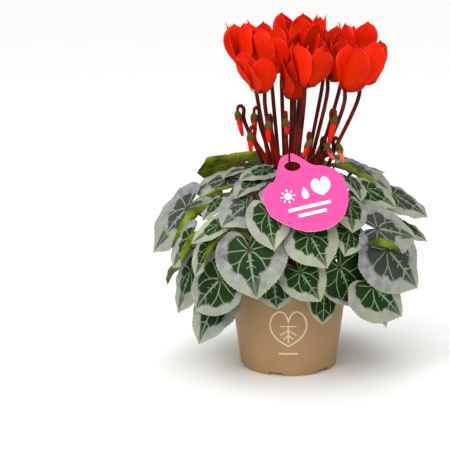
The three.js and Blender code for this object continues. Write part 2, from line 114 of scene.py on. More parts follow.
SOFT_BOXES = {  # place, width and power
    "key_light": ((-0.9, -1.2, 1.3), 0.8, 9),
    "fill_light": ((1.2, -1.3, 0.6), 1.0, 3),
    "top_light": ((0.2, 0.7, 1.5), 0.8, 5),
}
LIT_POINT = Vector((0, 0, 0.18))
for name, (place, width, power) in SOFT_BOXES.items():
    light = bpy.data.lights.new(name, "AREA")
    light.size = width
    light.energy = power
    lamp = bpy.data.objects.new(name, light)
    lamp.location = place
    lamp.rotation_euler = (LIT_POINT - Vector(place)).to_track_quat("-Z", "Y").to_euler()
    bpy.context.scene.collection.objects.link(lamp)

CEILING_STRENGTH = 2.15
CEILING_SPREAD = math.radians(85)
CEILING_FALL = Vector((0.25, 0.5, -1))
ceiling = bpy.data.lights.new("ceiling_light", "SUN")
ceiling.energy = CEILING_STRENGTH
ceiling.angle = CEILING_SPREAD
lamp = bpy.data.objects.new("ceiling_light", ceiling)
lamp.rotation_euler = CEILING_FALL.to_track_quat("-Z", "Y").to_euler()
bpy.context.scene.collection.objects.link(lamp)

ROOM_GLOW = 0.43
world = bpy.data.worlds.new("studio")
world.use_nodes = True
world.node_tree.nodes["Background"].inputs["Color"].default_value = linear("#ffffff")
world.node_tree.nodes["Background"].inputs["Strength"].default_value = ROOM_GLOW
bpy.context.scene.world = world
bpy.context.scene.view_settings.view_transform = "Standard"
bpy.context.scene.view_settings.look = "None"


def add_mesh(name, points, faces, *surfaces, smooth=True):
    """An object at the origin from points and faces, with its materials."""
    mesh = bpy.data.meshes.new(name)
    mesh.from_pydata([tuple(point) for point in points], [], [tuple(face) for face in faces])
    for surface in surfaces:
        mesh.materials.append(surface)
    mesh.polygons.foreach_set("use_smooth", [smooth] * len(mesh.polygons))
    piece = bpy.data.objects.new(name, mesh)
    bpy.context.scene.collection.objects.link(piece)
    return piece


# Uncoated paper on a roll: it gives no gloss and no edge to see, only a pale ground.
FLOOR_HALF = 14.0
paper, tree, shader = new_surface("seamless_paper", 0.9)
shader.inputs["Base Color"].default_value = linear("#fbfbfa")
corners = [(-FLOOR_HALF, -FLOOR_HALF, 0), (FLOOR_HALF, -FLOOR_HALF, 0), (FLOOR_HALF, FLOOR_HALF, 0),
           (-FLOOR_HALF, FLOOR_HALF, 0)]
floor = add_mesh("floor", corners, [(0, 1, 2, 3)], paper)
floor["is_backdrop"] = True


# ---- Pot: a thin-walled pot of kraft-coloured fibre plastic ----
# It is moulded in one, with a plain lip, a flat foot and six drain slots through the foot's corner.
# Every size from here on is in millimetres.
MM = 0.001
RIM_RADIUS = 64.6
FOOT_RADIUS = 51
POT_HEIGHT = 95
LIP_HEIGHT = 10
LIP_PROUD = 1.4
WALL = 1.8
FLOOR_THICK = 2.5
NOTCHES = 6
NOTCH_SIZE = (8, 15, 8)
NOTCH_START = 0.25  # how far the first slot stands from the +X side, in slots
POT_SIDES = 120


def wall_radius(z):
    """The radius of the pot's outer wall at a height."""
    return FOOT_RADIUS + (RIM_RADIUS - LIP_PROUD - FOOT_RADIUS) * z / POT_HEIGHT


def turned(profile, sides):
    """Points in metres and faces of a body turned about Z from its outline in millimetres.

    The outline runs from the axis round the outside and back to the axis.
    """
    points = []
    faces = []
    for radius, z in profile:
        if radius == 0:
            points.append((0, 0, z))
            continue
        for i in range(sides):
            angle = 2 * math.pi * i / sides
            points.append((radius * math.cos(angle), radius * math.sin(angle), z))
    starts = np.cumsum([0] + [1 if radius == 0 else sides for radius, _ in profile])
    for k in range(len(profile) - 1):
        low, high = starts[k], starts[k + 1]
        for i in range(sides):
            j = (i + 1) % sides
            if profile[k][0] == 0:
                faces.append((low, high + j, high + i))
            elif profile[k + 1][0] == 0:
                faces.append((low + i, low + j, high))
            else:
                faces.append((low + i, low + j, high + j, high + i))
    return np.array(points) * MM, faces


def finish(name, noises, steps, roughness, gloss=0.5, relief=None, marks=None):
    """A material whose colour is worked out in steps, each one node.

    noises gives each noise the real width of its patches and its detail. marks names the parts of a
    value that the piece's points carry, or of their place. A step is its name, what it does and its
    terms: numbers, sRGB colours or names known by then. MIX blends two colours by a share, TINT
    multiplies the second in, LINEAR and SMOOTHSTEP map a value from one range to another, and the rest
    are sums. relief is the name, strength and height of what stands up.
    """
    surface, tree, shader = new_surface(name, roughness, gloss)
    place = add_node(tree, "ShaderNodeTexCoord").outputs["Object"]
    known = {}
    for noise, (width, detail) in noises.items():
        known[noise] = add_node(tree, "ShaderNodeTexNoise",
                                {"Vector": place, "Scale": round(1 / (width * MM)), "Detail": detail})
    for mark, parts in (marks or {}).items():
        carried = place
        if mark != "place":
            carried = add_node(tree, "ShaderNodeAttribute", attribute_name=mark)
            carried = carried.outputs["Fac" if len(parts) == 1 else "Vector"]
        if len(parts) == 1:
            known[parts[0]] = carried
        else:
            known.update(zip(parts, add_node(tree, "ShaderNodeSeparateXYZ", {0: carried}).outputs))
    for result, does, *terms in steps:
        inputs = {i: linear(term) if str(term).startswith("#") else known.get(term, term)
                  for i, term in enumerate(terms)}
        if does in ("MIX", "TINT"):
            blend = {"MIX": "MIX", "TINT": "MULTIPLY"}[does]
            known[result] = add_node(tree, "ShaderNodeMixRGB", inputs, blend_type=blend)
        elif does in ("LINEAR", "SMOOTHSTEP"):
            known[result] = add_node(tree, "ShaderNodeMapRange", inputs, interpolation_type=does)
        else:
            known[result] = add_node(tree, "ShaderNodeMath", inputs, operation=does)
    tree.links.new(known["colour"].outputs[0], shader.inputs["Base Color"])
    if relief:
        source, strength, height = relief
        bump = add_node(tree, "ShaderNodeBump",
                        {"Strength": strength, "Distance": height * MM, "Height": known[source]})
        tree.links.new(bump.outputs[0], shader.inputs["Normal"])
    return surface


# Moulded fibre plastic: it looks like matt brown card, with darker flecks and faint broad clouds.
kraft = finish("kraft_fibre_plastic", {"fibres": (1.111, 4), "clouds": (28.6, 2)}, [
    ("brown", "MIX", "clouds", "#9f7b52", "#ae8a60"),
    ("flecks", "LINEAR", "fibres", 0.3, 0.42, 0, 1),
    ("flecks", "MIX", "flecks", "#8f6c47", "#ffffff"),
    ("colour", "TINT", 0.35, "brown", "flecks"),
], 0.62, relief=("fibres", 0.12, 0.3))

lip_foot = POT_HEIGHT - LIP_HEIGHT
pot_profile = [
    (0, 0), (FOOT_RADIUS - 2.5, 0), (FOOT_RADIUS - 1, 0), (FOOT_RADIUS - 0.3, 0.3), (FOOT_RADIUS, 1),
    (wall_radius(12), 12), (wall_radius(45), 45), (wall_radius(lip_foot - 0.6), lip_foot - 0.6),
    (wall_radius(lip_foot), lip_foot), (RIM_RADIUS - 0.7, lip_foot), (RIM_RADIUS - 0.35, lip_foot + 0.5),
    (RIM_RADIUS, POT_HEIGHT - 1.1), (RIM_RADIUS - 0.3, POT_HEIGHT - 0.3), (RIM_RADIUS - 1, POT_HEIGHT),
    (RIM_RADIUS - LIP_PROUD - WALL + 0.4, POT_HEIGHT), (RIM_RADIUS - LIP_PROUD - WALL, POT_HEIGHT - 0.5),
    (wall_radius(60) - WALL, 60), (wall_radius(FLOOR_THICK + 2) - WALL, FLOOR_THICK + 2),
    (wall_radius(FLOOR_THICK) - WALL - 2, FLOOR_THICK), (0, FLOOR_THICK),
]
pot = add_mesh("pot_body", *turned(pot_profile, POT_SIDES), kraft)
bricks = []
for i in range(NOTCHES):
    spin = Matrix.Rotation((i + NOTCH_START) * 2 * math.pi / NOTCHES, 3, "Z")
    for steps in np.ndindex(2, 2, 2):
        corner = Vector([(step - 0.5) * size for step, size in zip(steps, NOTCH_SIZE)])
        bricks.append((spin @ (corner + Vector((FOOT_RADIUS, 0, 0)))) * MM)
brick_faces = [(0, 1, 3, 2), (4, 6, 7, 5), (0, 4, 5, 1), (2, 3, 7, 6), (0, 2, 6, 4), (1, 5, 7, 3)]
notch_faces = [[8 * i + corner for corner in face] for i in range(NOTCHES) for face in brick_faces]
cutter = add_mesh("notch_cutter", bricks, notch_faces)
cut = pot.modifiers.new("notches", "BOOLEAN")
cut.operation = "DIFFERENCE"
cut.object = cutter


def settle(piece):
    """Makes a piece's modifiers into its plain mesh."""
    evaluated = piece.evaluated_get(bpy.context.evaluated_depsgraph_get())
    mesh = bpy.data.meshes.new_from_object(evaluated)
    piece.modifiers.clear()
    piece.data = mesh


settle(pot)
bpy.data.objects.remove(cutter)
for polygon in pot.data.polygons:
    polygon.use_smooth = True
pot.data.set_sharp_from_angle(angle=math.radians(30))
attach(pot, "root")
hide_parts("pot")


# ---- Potting mix: dark peat with coarse crumbs ----
# Loose milled peat fills the pot to a finger's breadth under the rim, heaped a little round the tuber.
SOIL_TOP = 84
CROWN_Z = 86
TUBER_RADIUS = 34
TUBER_DEPTH = 18
CLEARANCE = 0.3
SOIL_SIDES = 90
HUMPS = (-0.9, 0.1)  # how far single points of the peat lie under or over its surface

# Milled peat, loose: almost black brown, with no shine and a rough broken surface.
peat = finish("milled_peat", {"clods": (3.125, 6)}, [
    ("dry", "LINEAR", "clods", 0.35, 0.7, 0, 1),
    ("colour", "MIX", "dry", "#150d08", "#3d2a1c"),
], 0.95, relief=("clods", 0.8, 1.2))


def soil_wall(z):
    """The radius of the peat at a height, just inside the wall."""
    return wall_radius(z) - WALL - CLEARANCE


tuber_foot = CROWN_Z - TUBER_DEPTH
soil_profile = [
    (0, FLOOR_THICK + CLEARANCE), (soil_wall(FLOOR_THICK) - 2.3, FLOOR_THICK + CLEARANCE),
    (soil_wall(8), 8), (soil_wall(SOIL_TOP - 2), SOIL_TOP - 2),
    (soil_wall(SOIL_TOP) - 4, SOIL_TOP - 0.6), (54, SOIL_TOP), (50, SOIL_TOP + 0.6), (46, SOIL_TOP + 0.9),
    (42, SOIL_TOP + 0.7), (39, SOIL_TOP + 0.3), (TUBER_RADIUS + 2, SOIL_TOP),
    (TUBER_RADIUS + CLEARANCE, SOIL_TOP - 3), (TUBER_RADIUS * 0.6, tuber_foot - CLEARANCE),
    (0, tuber_foot - CLEARANCE),
]
soil_points, soil_faces = turned(soil_profile, SOIL_SIDES)
chance = np.random.default_rng(7)
surface_ring = (soil_points[:, 2] > (SOIL_TOP - 1) * MM) & (soil_points[:, 2] < (SOIL_TOP + 1) * MM)
soil_points[surface_ring, 2] += chance.uniform(*HUMPS, surface_ring.sum()) * MM
soil = add_mesh("potting_mix", soil_points, soil_faces, peat)


def shape_tree(name, sockets):
    """A Geometry Nodes tree with its named inputs: the tree, its input node and their identifiers."""
    tree = bpy.data.node_groups.new(name, "GeometryNodeTree")
    tree.is_modifier = True
    made = [tree.interface.new_socket(label, in_out="INPUT", socket_type="NodeSocket" + kind)
            for label, kind in [("Geometry", "Geometry"), *sockets]]
    tree.interface.new_socket("Geometry", in_out="OUTPUT", socket_type="NodeSocketGeometry")
    return tree, add_node(tree, "NodeGroupInput"), [socket.identifier for socket in made[1:]]


CRUMBS = 900
CRUMB_SIZE = 1.3
CRUMB_SHAPES = ((0.3, 0.3, 0.25), (1, 0.9, 0.6))  # the smallest and largest, against that size
CRUMB_RING = (35, 58)  # the radii between which the peat lies open
SOIL_EDGE = 1.6  # how far below its top the peat still carries crumbs
FULL_TURN = 6.28
crumb_tree, source, (density_id, size_id) = shape_tree(
    "peat_crumbs", [("Density", "Float"), ("Crumb size", "Float")])
spot = add_node(crumb_tree, "GeometryNodeInputPosition")
spot = add_node(crumb_tree, "ShaderNodeSeparateXYZ", {0: spot})
on_top = add_node(crumb_tree, "FunctionNodeCompare", {0: spot.outputs[2], 1: (SOIL_TOP - SOIL_EDGE) * MM},
                  operation="GREATER_THAN")
scatter = add_node(crumb_tree, "GeometryNodeDistributePointsOnFaces",
                   {"Mesh": source.outputs[0], "Selection": on_top, "Density": source.outputs[1], "Seed": 3})
grit = add_node(crumb_tree, "GeometryNodeMeshIcoSphere", {"Radius": source.outputs[2], "Subdivisions": 1})
turns = add_node(crumb_tree, "FunctionNodeRandomValue", {0: (0, 0, 0), 1: (FULL_TURN,) * 3, "Seed": 5},
                 data_type="FLOAT_VECTOR")
sizes = add_node(crumb_tree, "FunctionNodeRandomValue", {0: CRUMB_SHAPES[0], 1: CRUMB_SHAPES[1], "Seed": 6},
                 data_type="FLOAT_VECTOR")
crumbs = add_node(crumb_tree, "GeometryNodeInstanceOnPoints",
                  {"Points": scatter, "Instance": grit, "Rotation": turns, "Scale": sizes})
whole = add_node(crumb_tree, "GeometryNodeRealizeInstances", {0: crumbs})
finished = add_node(crumb_tree, "GeometryNodeSetMaterial", {0: whole, "Material": peat})
add_node(crumb_tree, "NodeGroupOutput", {0: finished})
crumb_piece = add_mesh("peat_crumbs", soil_points, soil_faces, peat)
modifier = crumb_piece.modifiers.new("crumbs", "NODES")
modifier.node_group = crumb_tree
open_area = math.pi * ((CRUMB_RING[1] * MM) ** 2 - (CRUMB_RING[0] * MM) ** 2)
modifier[density_id] = CRUMBS / open_area
modifier[size_id] = CRUMB_SIZE * MM
settle(crumb_piece)
for piece in (soil, crumb_piece):
    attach(piece, "root")
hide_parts("soil")


# ---- Tuber: a flattened corm that sits half out of the peat ----
# A grown storage organ with a corky brown skin and a dished crown, from which every stem rises.
CROWN_RADIUS = 28.5
TUBER_SIDES = 72

# Cork, grown: a dull brown skin with rough paler scales some millimetres wide.
cork = finish("corky_skin", {"bark": (6.25, 5)}, [
    ("scales", "LINEAR", "bark", 0.35, 0.72, 0, 1),
    ("colour", "MIX", "scales", "#2c1a10", "#6d4a31"),
], 0.85, relief=("bark", 0.6, 1.0))

tuber_profile = [
    (0, tuber_foot), (TUBER_RADIUS * 0.45, tuber_foot), (TUBER_RADIUS * 0.62, tuber_foot + 0.7),
    (TUBER_RADIUS * 0.85, tuber_foot + 6), (TUBER_RADIUS - 0.4, SOIL_TOP - 4), (TUBER_RADIUS, SOIL_TOP - 1),
    (TUBER_RADIUS - 0.6, CROWN_Z + 0.6), (TUBER_RADIUS - 2, CROWN_Z + 2.4),
    (TUBER_RADIUS - 3.4, CROWN_Z + 2.9), (CROWN_RADIUS, CROWN_Z + 2.2), (CROWN_RADIUS - 1, CROWN_Z),
    (12, CROWN_Z), (0, CROWN_Z),
]
tuber = add_mesh("corm", *turned(tuber_profile, TUBER_SIDES), cork)
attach(tuber, "root")
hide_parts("tuber")


# ---- Leaves: heart-shaped blades on brown stalks, each shoot grown from one foot on the crown ----
# The blade is dark green in the middle with a broad silver margin and pale veins, thin and leathery,
# with a finely scalloped edge. A shoot is its node, its ring on the crown (0 outside, 1 inside) and a
# row for each leaf: notch, tip, width, roll, hang, silver margin and lime tint.
SHOOTS = [
    ("leaf_01", 0, [((-38, -112, 151), (-32, -130, 107), 1.02, 0, 0.25, 0.38, 0.1),
                    ((-14, -84, 113), (-12, -86, 82), 1.0, 0, 0.2, 0.2, 0.3)]),
    ("leaf_02", 0, [((21, -114, 166), (38, -131, 140), 1.0, 6, 0.2, 0.36, 0.5),
                    ((12, -109, 128), (32, -120, 102), 0.88, 0, 0.2, 0.3, 0.5)]),
    ("leaf_03", 0, [((50, -90, 129), (69, -81, 84), 0.72, 10, 0.25, 0.12, 0.2),
                    ((35, -78, 100), (36, -84, 66), 0.72, 0, 0.2, 0.14, 0.5)]),
    ("leaf_04", 0, [((84, -81, 106), (117, -70, 72), 0.88, 0, 0.25, 0.36, 0.4),
                    ((90, -46, 92), (105, -52, 55), 0.85, 0, 0.2, 0.3, 0.2)]),
    ("leaf_05", 0, [((98, -72, 142), (134, -56, 98), 0.85, 18, 0.25, 0.34, 0.1),
                    ((114, -28, 125), (136, -28, 90), 0.85, 18, 0.2, 0.35, 0.2)]),
    ("leaf_06", 0, [((-67, -91, 116), (-100, -73, 78), 0.75, 0, 0.25, 0.26, 0.3),
                    ((-60, -80, 112), (-62, -82, 82), 0.62, 0, 0.15, 0.26, 0.7)]),
    ("leaf_07", 0, [((-70, -56, 88), (-97, -66, 42), 0.75, 0, 0.2, 0.3, 0.2),
                    ((-100, -33, 108), (-118, -39, 65), 0.72, -16, 0.2, 0.42, 0.1)]),
    ("leaf_08", 0, [((-80, -88, 148), (-95, -94, 120), 0.5, -20, 0.1, 0.36, 0.5),
                    ((-98, -72, 154), (-120, -72, 124), 0.7, -10, 0.2, 0.46, 0.2)]),
    ("leaf_09", 1, [((-69, -90, 172), (-97, -99, 156), 0.45, -10, 0.2, 0.4, 0.9)]),
    ("leaf_10", 1, [((-103, -39, 176), (-143, -45, 135), 0.84, -20, 0.25, 0.5, 0.1),
                    ((-53, 12, 214), (-97, 6, 209), 0.85, 48, 0.2, 0.3, 0.9)]),
    ("leaf_11", 1, [((-62, -28, 205), (-102, -18, 194), 0.75, -8, 0.3, 0.45, 0.1),
                    ((-46, -16, 214), (-68, -38, 212), 0.7, 0, 0.2, 0.4, 0.3),
                    ((-24, -47, 218), (-50, -58, 214), 0.75, 0, 0.2, 0.4, 0.1)]),
    ("leaf_12", 1, [((-42, -84, 190), (-66, -106, 176), 0.92, -10, 0.25, 0.45, 0.0),
                    ((-35, -54, 208), (-53, -82, 200), 0.6, 0, 0.2, 0.4, 0.2)]),
    ("leaf_13", 1, [((-73, -60, 187), (-87, -73, 173), 0.72, 0, 0.2, 0.4, 0.4)]),
    ("leaf_14", 1, [((-20, -103, 186), (-14, -129, 157), 0.75, 0, 0.2, 0.34, 0.7),
                    ((-4, -68, 207), (-8, -114, 194), 0.7, 10, 0.2, 0.4, 0.2)]),
    ("leaf_15", 1, [((68, 6, 208), (110, -12, 192), 0.8, 22, 0.25, 0.5, 0.0),
                    ((68, 36, 206), (104, 34, 204), 0.75, 12, 0.2, 0.3, 0.4),
                    ((52, 34, 216), (72, 62, 212), 0.8, 0, 0.2, 0.4, 0.3)]),
    ("leaf_16", 0, [((110, 2, 182), (147, -8, 164), 0.9, 24, 0.25, 0.3, 0.5),
                    ((118, -8, 152), (148, -14, 138), 0.8, 15, 0.2, 0.3, 0.5)]),
    ("leaf_17", 1, [((80, -32, 195), (112, -38, 181), 0.85, 15, 0.25, 0.36, 0.5)]),
    ("leaf_18", 0, [((88, -80, 165), (130, -64, 154), 0.85, 0, 0.25, 0.42, 0.1)]),
    ("leaf_19", 1, [((60, -78, 188), (64, -106, 170), 0.78, 0, 0.2, 0.36, 0.6),
                    ((30, -68, 206), (37, -115, 195), 0.7, 10, 0.2, 0.4, 0.3)]),
    ("leaf_20", 0, [((60, -94, 166), (56, -116, 148), 0.8, 0, 0.2, 0.28, 0.5)]),
    ("leaf_21", 1, [((64, -37, 205), (75, -64, 194), 0.62, 0, 0.2, 0.4, 0.3)]),
    ("leaf_22", 0, [((92, 48, 118), (124, 64, 80), 0.85, 12, 0.25, 0.34, 0.2),
                    ((86, 46, 165), (126, 62, 146), 0.8, 12, 0.25, 0.4, 0.3)]),
    ("leaf_23", 0, [((60, 88, 116), (82, 116, 78), 0.85, 12, 0.25, 0.3, 0.4),
                    ((54, 84, 168), (74, 122, 148), 0.8, 12, 0.25, 0.42, 0.1)]),
    ("leaf_24", 0, [((10, 104, 118), (14, 132, 80), 0.85, 12, 0.25, 0.36, 0.1),
                    ((8, 96, 168), (10, 136, 148), 0.8, 12, 0.25, 0.32, 0.4)]),
    ("leaf_25", 0, [((-42, 96, 116), (-56, 124, 78), 0.85, 12, 0.25, 0.3, 0.3),
                    ((-38, 90, 168), (-54, 128, 148), 0.8, 12, 0.25, 0.42, 0.2)]),
    ("leaf_26", 0, [((-86, 58, 118), (-112, 80, 80), 0.85, 12, 0.25, 0.36, 0.3),
                    ((-80, 54, 168), (-114, 78, 148), 0.8, 12, 0.25, 0.34, 0.4)]),
    ("leaf_27", 0, [((-104, 15, 122), (-136, 22, 84), 0.85, 12, 0.25, 0.3, 0.2),
                    ((-104, 12, 168), (-140, 18, 150), 0.75, 12, 0.25, 0.42, 0.4)]),
    ("leaf_28", 1, [((-18, 58, 212), (-32, 95, 198), 0.85, 8, 0.2, 0.4, 0.2),
                    ((24, 59, 212), (34, 97, 198), 0.85, 8, 0.2, 0.34, 0.4)]),
    ("leaf_29", 1, [((-50, 50, 205), (-79, 77, 188), 0.8, 12, 0.2, 0.36, 0.3)]),
]
# Leaves with one half rolled up and over: their row in the shoot, and how far from the midrib the roll
# starts, to the right of the front where it is positive.
ROLLED = {("leaf_10", 0): -0.3, ("leaf_10", 1): -0.2, ("leaf_11", 0): -0.36, ("leaf_08", 1): -0.18,
          ("leaf_08", 0): -0.12, ("leaf_18", 0): 0.36, ("leaf_15", 0): 0.2, ("leaf_26", 1): -0.14,
          ("leaf_23", 1): 0.14}
ROLL_RADIUS = 0.06  # in leaf lengths
ROLL_LIMIT = 2.9  # how far round it rolls, in radians
ROLL_SLANT = 0.06  # how much further out the roll starts with distance from the notch
# Leaves whose centre is painted grey as a sheen, a painted reflection of the sky, and how much so.
PAINTED_SHEEN = {("leaf_10", 0): 1.0, ("leaf_11", 0): 0.7, ("leaf_12", 0): 0.8, ("leaf_18", 0): 0.9,
         ("leaf_16", 0): 0.5, ("leaf_05", 0): 0.8, ("leaf_15", 0): 0.9, ("leaf_01", 0): 0.15,
         ("leaf_25", 1): 0.7, ("leaf_23", 1): 0.8}
# Veins, in leaf lengths and radians. Palmate ones leave the notch at an angle from the midrib that
# changes with distance; feathered ones leave the midrib at a height and climb towards the tip.
PALMATE = [  # angle, bend, first reach, last reach, half width
    (1.12, -0.95, 0.0, 0.7, 0.015),
    (1.80, -0.3, 0.0, 0.62, 0.014),
    (2.5, 0.15, 0.0, 0.42, 0.012),
    (0.62, 0.95, 0.28, 0.62, 0.011),
]
FEATHERED = [  # height, slope, last reach, half width
    (0.17, 0.7, 0.085, 0.01),
    (0.29, 0.75, 0.1, 0.01),
    (0.52, 0.55, 0.3, 0.012),
]
MIDRIB = (0.036, 0.012)  # half width at the notch and at the tip

BLADE_RINGS = np.array([0.06, 0.16, 0.27, 0.39, 0.51, 0.63, 0.74, 0.83, 0.9, 0.95, 0.985, 1.0])
TEETH = 56
TOOTH_SAMPLES = 4
TOOTH = 0.018  # the height of a tooth of the edge
BLADE = (0.75, 0.35)  # thickness at the notch and at the edge
LOBE_SHARE = 0.85  # how far the lobes reach back behind the notch, against heart_reach
NOTCH_RISE = 0.04  # how far the notch stands over the blade's plane
QUILT = 0.018  # how far the blade puffs up between its veins
DROOP = 0.14  # how far the blade bends down towards its tip
WAVE = (0.035, 5)  # slow waves round the blade: their height and how many
RUFFLE = (0.016, 11)  # short waves at its edge, the same


def heart_reach(q):
    """How far a heart-shaped blade reaches from its notch, in leaf lengths: q is 0 at the tip, 1 behind."""
    tip = 0.19 * np.exp(-q / 0.1)
    lobes = 0.22 * q ** 2.2
    sinus = 0.56 * np.exp(-(((1 - q) / 0.09) ** 1.6))
    return 0.81 + tip - lobes - sinus


def unit(vector):
    return vector / np.linalg.norm(vector)


def blade_axes(notch, tip, roll):
    """A blade's directions: towards its tip, out of its upper face, and across it."""
    along = unit(tip - notch)
    outward = unit(np.array([notch[0], notch[1], (notch[2] - 110) * 1.2 + 12]))
    face = unit(outward - along * outward.dot(along))
    side = np.cross(along, face)
    face = face * math.cos(math.radians(roll)) + side * math.sin(math.radians(roll))
    return along, face, np.cross(along, face)


def vein_nearness(x, y):
    """0 away from the veins, 1 on one, widened so that a blade's grid can carry it."""
    reach = np.hypot(x, y)
    angle = np.arctan2(np.abs(x), y)
    near = np.exp(-(x / 0.035) ** 2)
    for start, bend, first, last, _ in PALMATE:
        gap = np.abs(angle - start - bend * reach) * reach
        near = np.maximum(near, np.exp(-(gap / 0.03) ** 2) * (reach > first) * (reach < last))
    for height, slope, last, _ in FEATHERED:
        gap = np.abs(y - height - slope * np.abs(x)) * 0.8
        near = np.maximum(near, np.exp(-(gap / 0.03) ** 2) * (np.abs(x) < last))
    return near


def thin_solid(front, back, faces, rim):
    """Closes two sheets of like points into one thin body, with a strip round the rim."""
    count = len(front)
    whole = [tuple(face) for face in faces]
    whole += [tuple(corner + count for corner in reversed(face)) for face in faces]
    whole += [(a, b, b + count, a + count) for a, b in zip(rim, rim[1:] + rim[:1])]
    return np.vstack([front, back]), whole


def stacked(parts):
    """The points and faces of several parts as those of one."""
    faces = []
    offset = 0
    for points, part_faces in parts:
        faces += [tuple(corner + offset for corner in face) for face in part_faces]
        offset += len(points)
    return np.vstack([points for points, _ in parts]), faces


def mark(piece, name, values):
    """Gives each of a piece's points a number or a triple that its material reads."""
    values = np.array(values, float)
    kind, field = ("FLOAT", "value") if values.ndim == 1 else ("FLOAT_VECTOR", "vector")
    piece.data.attributes.new(name, kind, "POINT").data.foreach_set(field, values.ravel())


def surface_normals(points, faces):
    """Unit normals at the points of a sheet, from the faces round each."""
    normals = np.zeros_like(points)
    for a, b, c, *rest in faces:
        facing = np.cross(points[b] - points[a], points[c] - points[a])
        for corner in (a, b, c, *rest):
            normals[corner] += facing
    return normals / np.maximum(np.linalg.norm(normals, axis=1, keepdims=True), 1e-9)


blade_columns = TEETH * TOOTH_SAMPLES
turns = (np.arange(blade_columns) / blade_columns) * 2 - 1
plain_reach = heart_reach(np.abs(turns))
scallops = np.abs(np.cos(np.arange(blade_columns) * math.pi / TOOTH_SAMPLES))
edge_reach = plain_reach + TOOTH * scallops - TOOTH / 2
inner_share = BLADE_RINGS[-2]
reach_grid = np.outer(BLADE_RINGS, plain_reach * (1 - inner_share) + edge_reach * inner_share)
flat_x = np.append(0, (reach_grid * np.sin(turns * math.pi)).ravel())
flat_y = np.append(0, (reach_grid * np.cos(turns * math.pi)).ravel())
flat_edge = np.append(0, np.repeat(BLADE_RINGS, blade_columns))
blade_faces = []
for i in range(blade_columns):
    j = (i + 1) % blade_columns
    blade_faces.append((0, 1 + j, 1 + i))
    for ring in range(len(BLADE_RINGS) - 1):
        low = 1 + ring * blade_columns
        high = low + blade_columns
        blade_faces.append((low + i, low + j, high + j, high + i))
blade_rim = [1 + (len(BLADE_RINGS) - 1) * blade_columns + i for i in range(blade_columns)]
inside = np.clip(1.4 - flat_edge, 0, 1) * np.clip(flat_edge * 4, 0, 1)
quilt = QUILT * (1 - vein_nearness(flat_x, flat_y)) * inside


def blade(row, rolled):
    """A blade's points in metres and its faces."""
    notch, tip, width, roll, hang, _, _ = row
    notch, tip = np.array(notch, float), np.array(tip, float)
    length = np.linalg.norm(tip - notch)
    along, face, across = blade_axes(notch, tip, roll)
    phase = notch[0] + notch[2]
    side = flat_x * width
    down = np.where(flat_y < 0, flat_y * LOBE_SHARE, flat_y)
    reach = np.hypot(side, down)
    angle = np.arctan2(side, down)
    wave = WAVE[0] * reach ** 2 * np.sin(WAVE[1] * angle + phase)
    ruffle = RUFFLE[0] * flat_edge ** 5 * np.sin(RUFFLE[1] * angle + phase * 2)
    height = NOTCH_RISE - DROOP * down ** 2 - hang * side ** 2 + wave + ruffle + quilt
    if rolled:
        past = np.maximum(side * np.sign(rolled) - abs(rolled) - ROLL_SLANT * np.abs(down), 0)
        arc = np.minimum(past / ROLL_RADIUS, ROLL_LIMIT)
        on = past - ROLL_RADIUS * arc
        side = side + np.sign(rolled) * (ROLL_RADIUS * np.sin(arc) + on * np.cos(arc) - past)
        height += ROLL_RADIUS * (1 - np.cos(arc)) + on * np.sin(arc)
    front = notch + (np.outer(side, across) + np.outer(down, along) + np.outer(height, face)) * length
    thickness = BLADE[0] + (BLADE[1] - BLADE[0]) * flat_edge
    back = front - surface_normals(front, blade_faces) * thickness[:, None]
    points, faces = thin_solid(front, back, blade_faces, blade_rim)
    return points * MM, faces


# A living leaf, grown: satin skin with fine grain and sunk veins. A dark centre meets a silver margin in
# a ragged scalloped line, a dark wedge runs to the tip, and the underside is olive. On some leaves the
# centre is painted grey as a sheen, a painted reflection of the sky on the satin.
leaf_steps = [
    ("side", "ABSOLUTE", "x"),
    ("reach", "MULTIPLY", "side", "side"),
    ("reach", "MULTIPLY_ADD", "y", "y", "reach"),
    ("reach", "SQRT", "reach"),
    ("waver", "MULTIPLY_ADD", "blotch", 0.16, -0.08),
    ("angle", "ARCTAN2", "side", "y"),
    ("angle", "ADD", "angle", "waver"),
    ("midrib", "LINEAR", "y", 0, 0.95, *MIDRIB),
    ("veins", "DIVIDE", "side", "midrib"),
    ("veins", "SMOOTHSTEP", "veins", 0.5, 1.3, 1, 0),
    ("begun", "GREATER_THAN", "y", -0.02),
    ("veins", "MULTIPLY", "veins", "begun"),
]
for start, bend, first, last, half in PALMATE:
    leaf_steps += [
        ("line", "MULTIPLY_ADD", "reach", bend, start),
        ("gap", "SUBTRACT", "angle", "line"),
        ("gap", "ABSOLUTE", "gap"),
        ("gap", "MULTIPLY", "gap", "reach"),
        ("line", "SMOOTHSTEP", "gap", half * 0.5, half * 1.5, 1, 0),
        ("begun", "GREATER_THAN", "reach", first),
        ("ended", "LESS_THAN", "reach", last),
        ("line", "MULTIPLY", "line", "begun"),
        ("line", "MULTIPLY", "line", "ended"),
        ("veins", "MAXIMUM", "veins", "line"),
    ]
for height, slope, last, half in FEATHERED:
    leaf_steps += [
        ("line", "MULTIPLY_ADD", "side", slope, height),
        ("gap", "SUBTRACT", "y", "line"),
        ("gap", "ADD", "gap", "waver"),
        ("gap", "ABSOLUTE", "gap"),
        ("line", "SMOOTHSTEP", "gap", half * 0.6, half * 1.8, 1, 0),
        ("ended", "LESS_THAN", "side", last),
        ("line", "MULTIPLY", "line", "ended"),
        ("veins", "MAXIMUM", "veins", "line"),
    ]
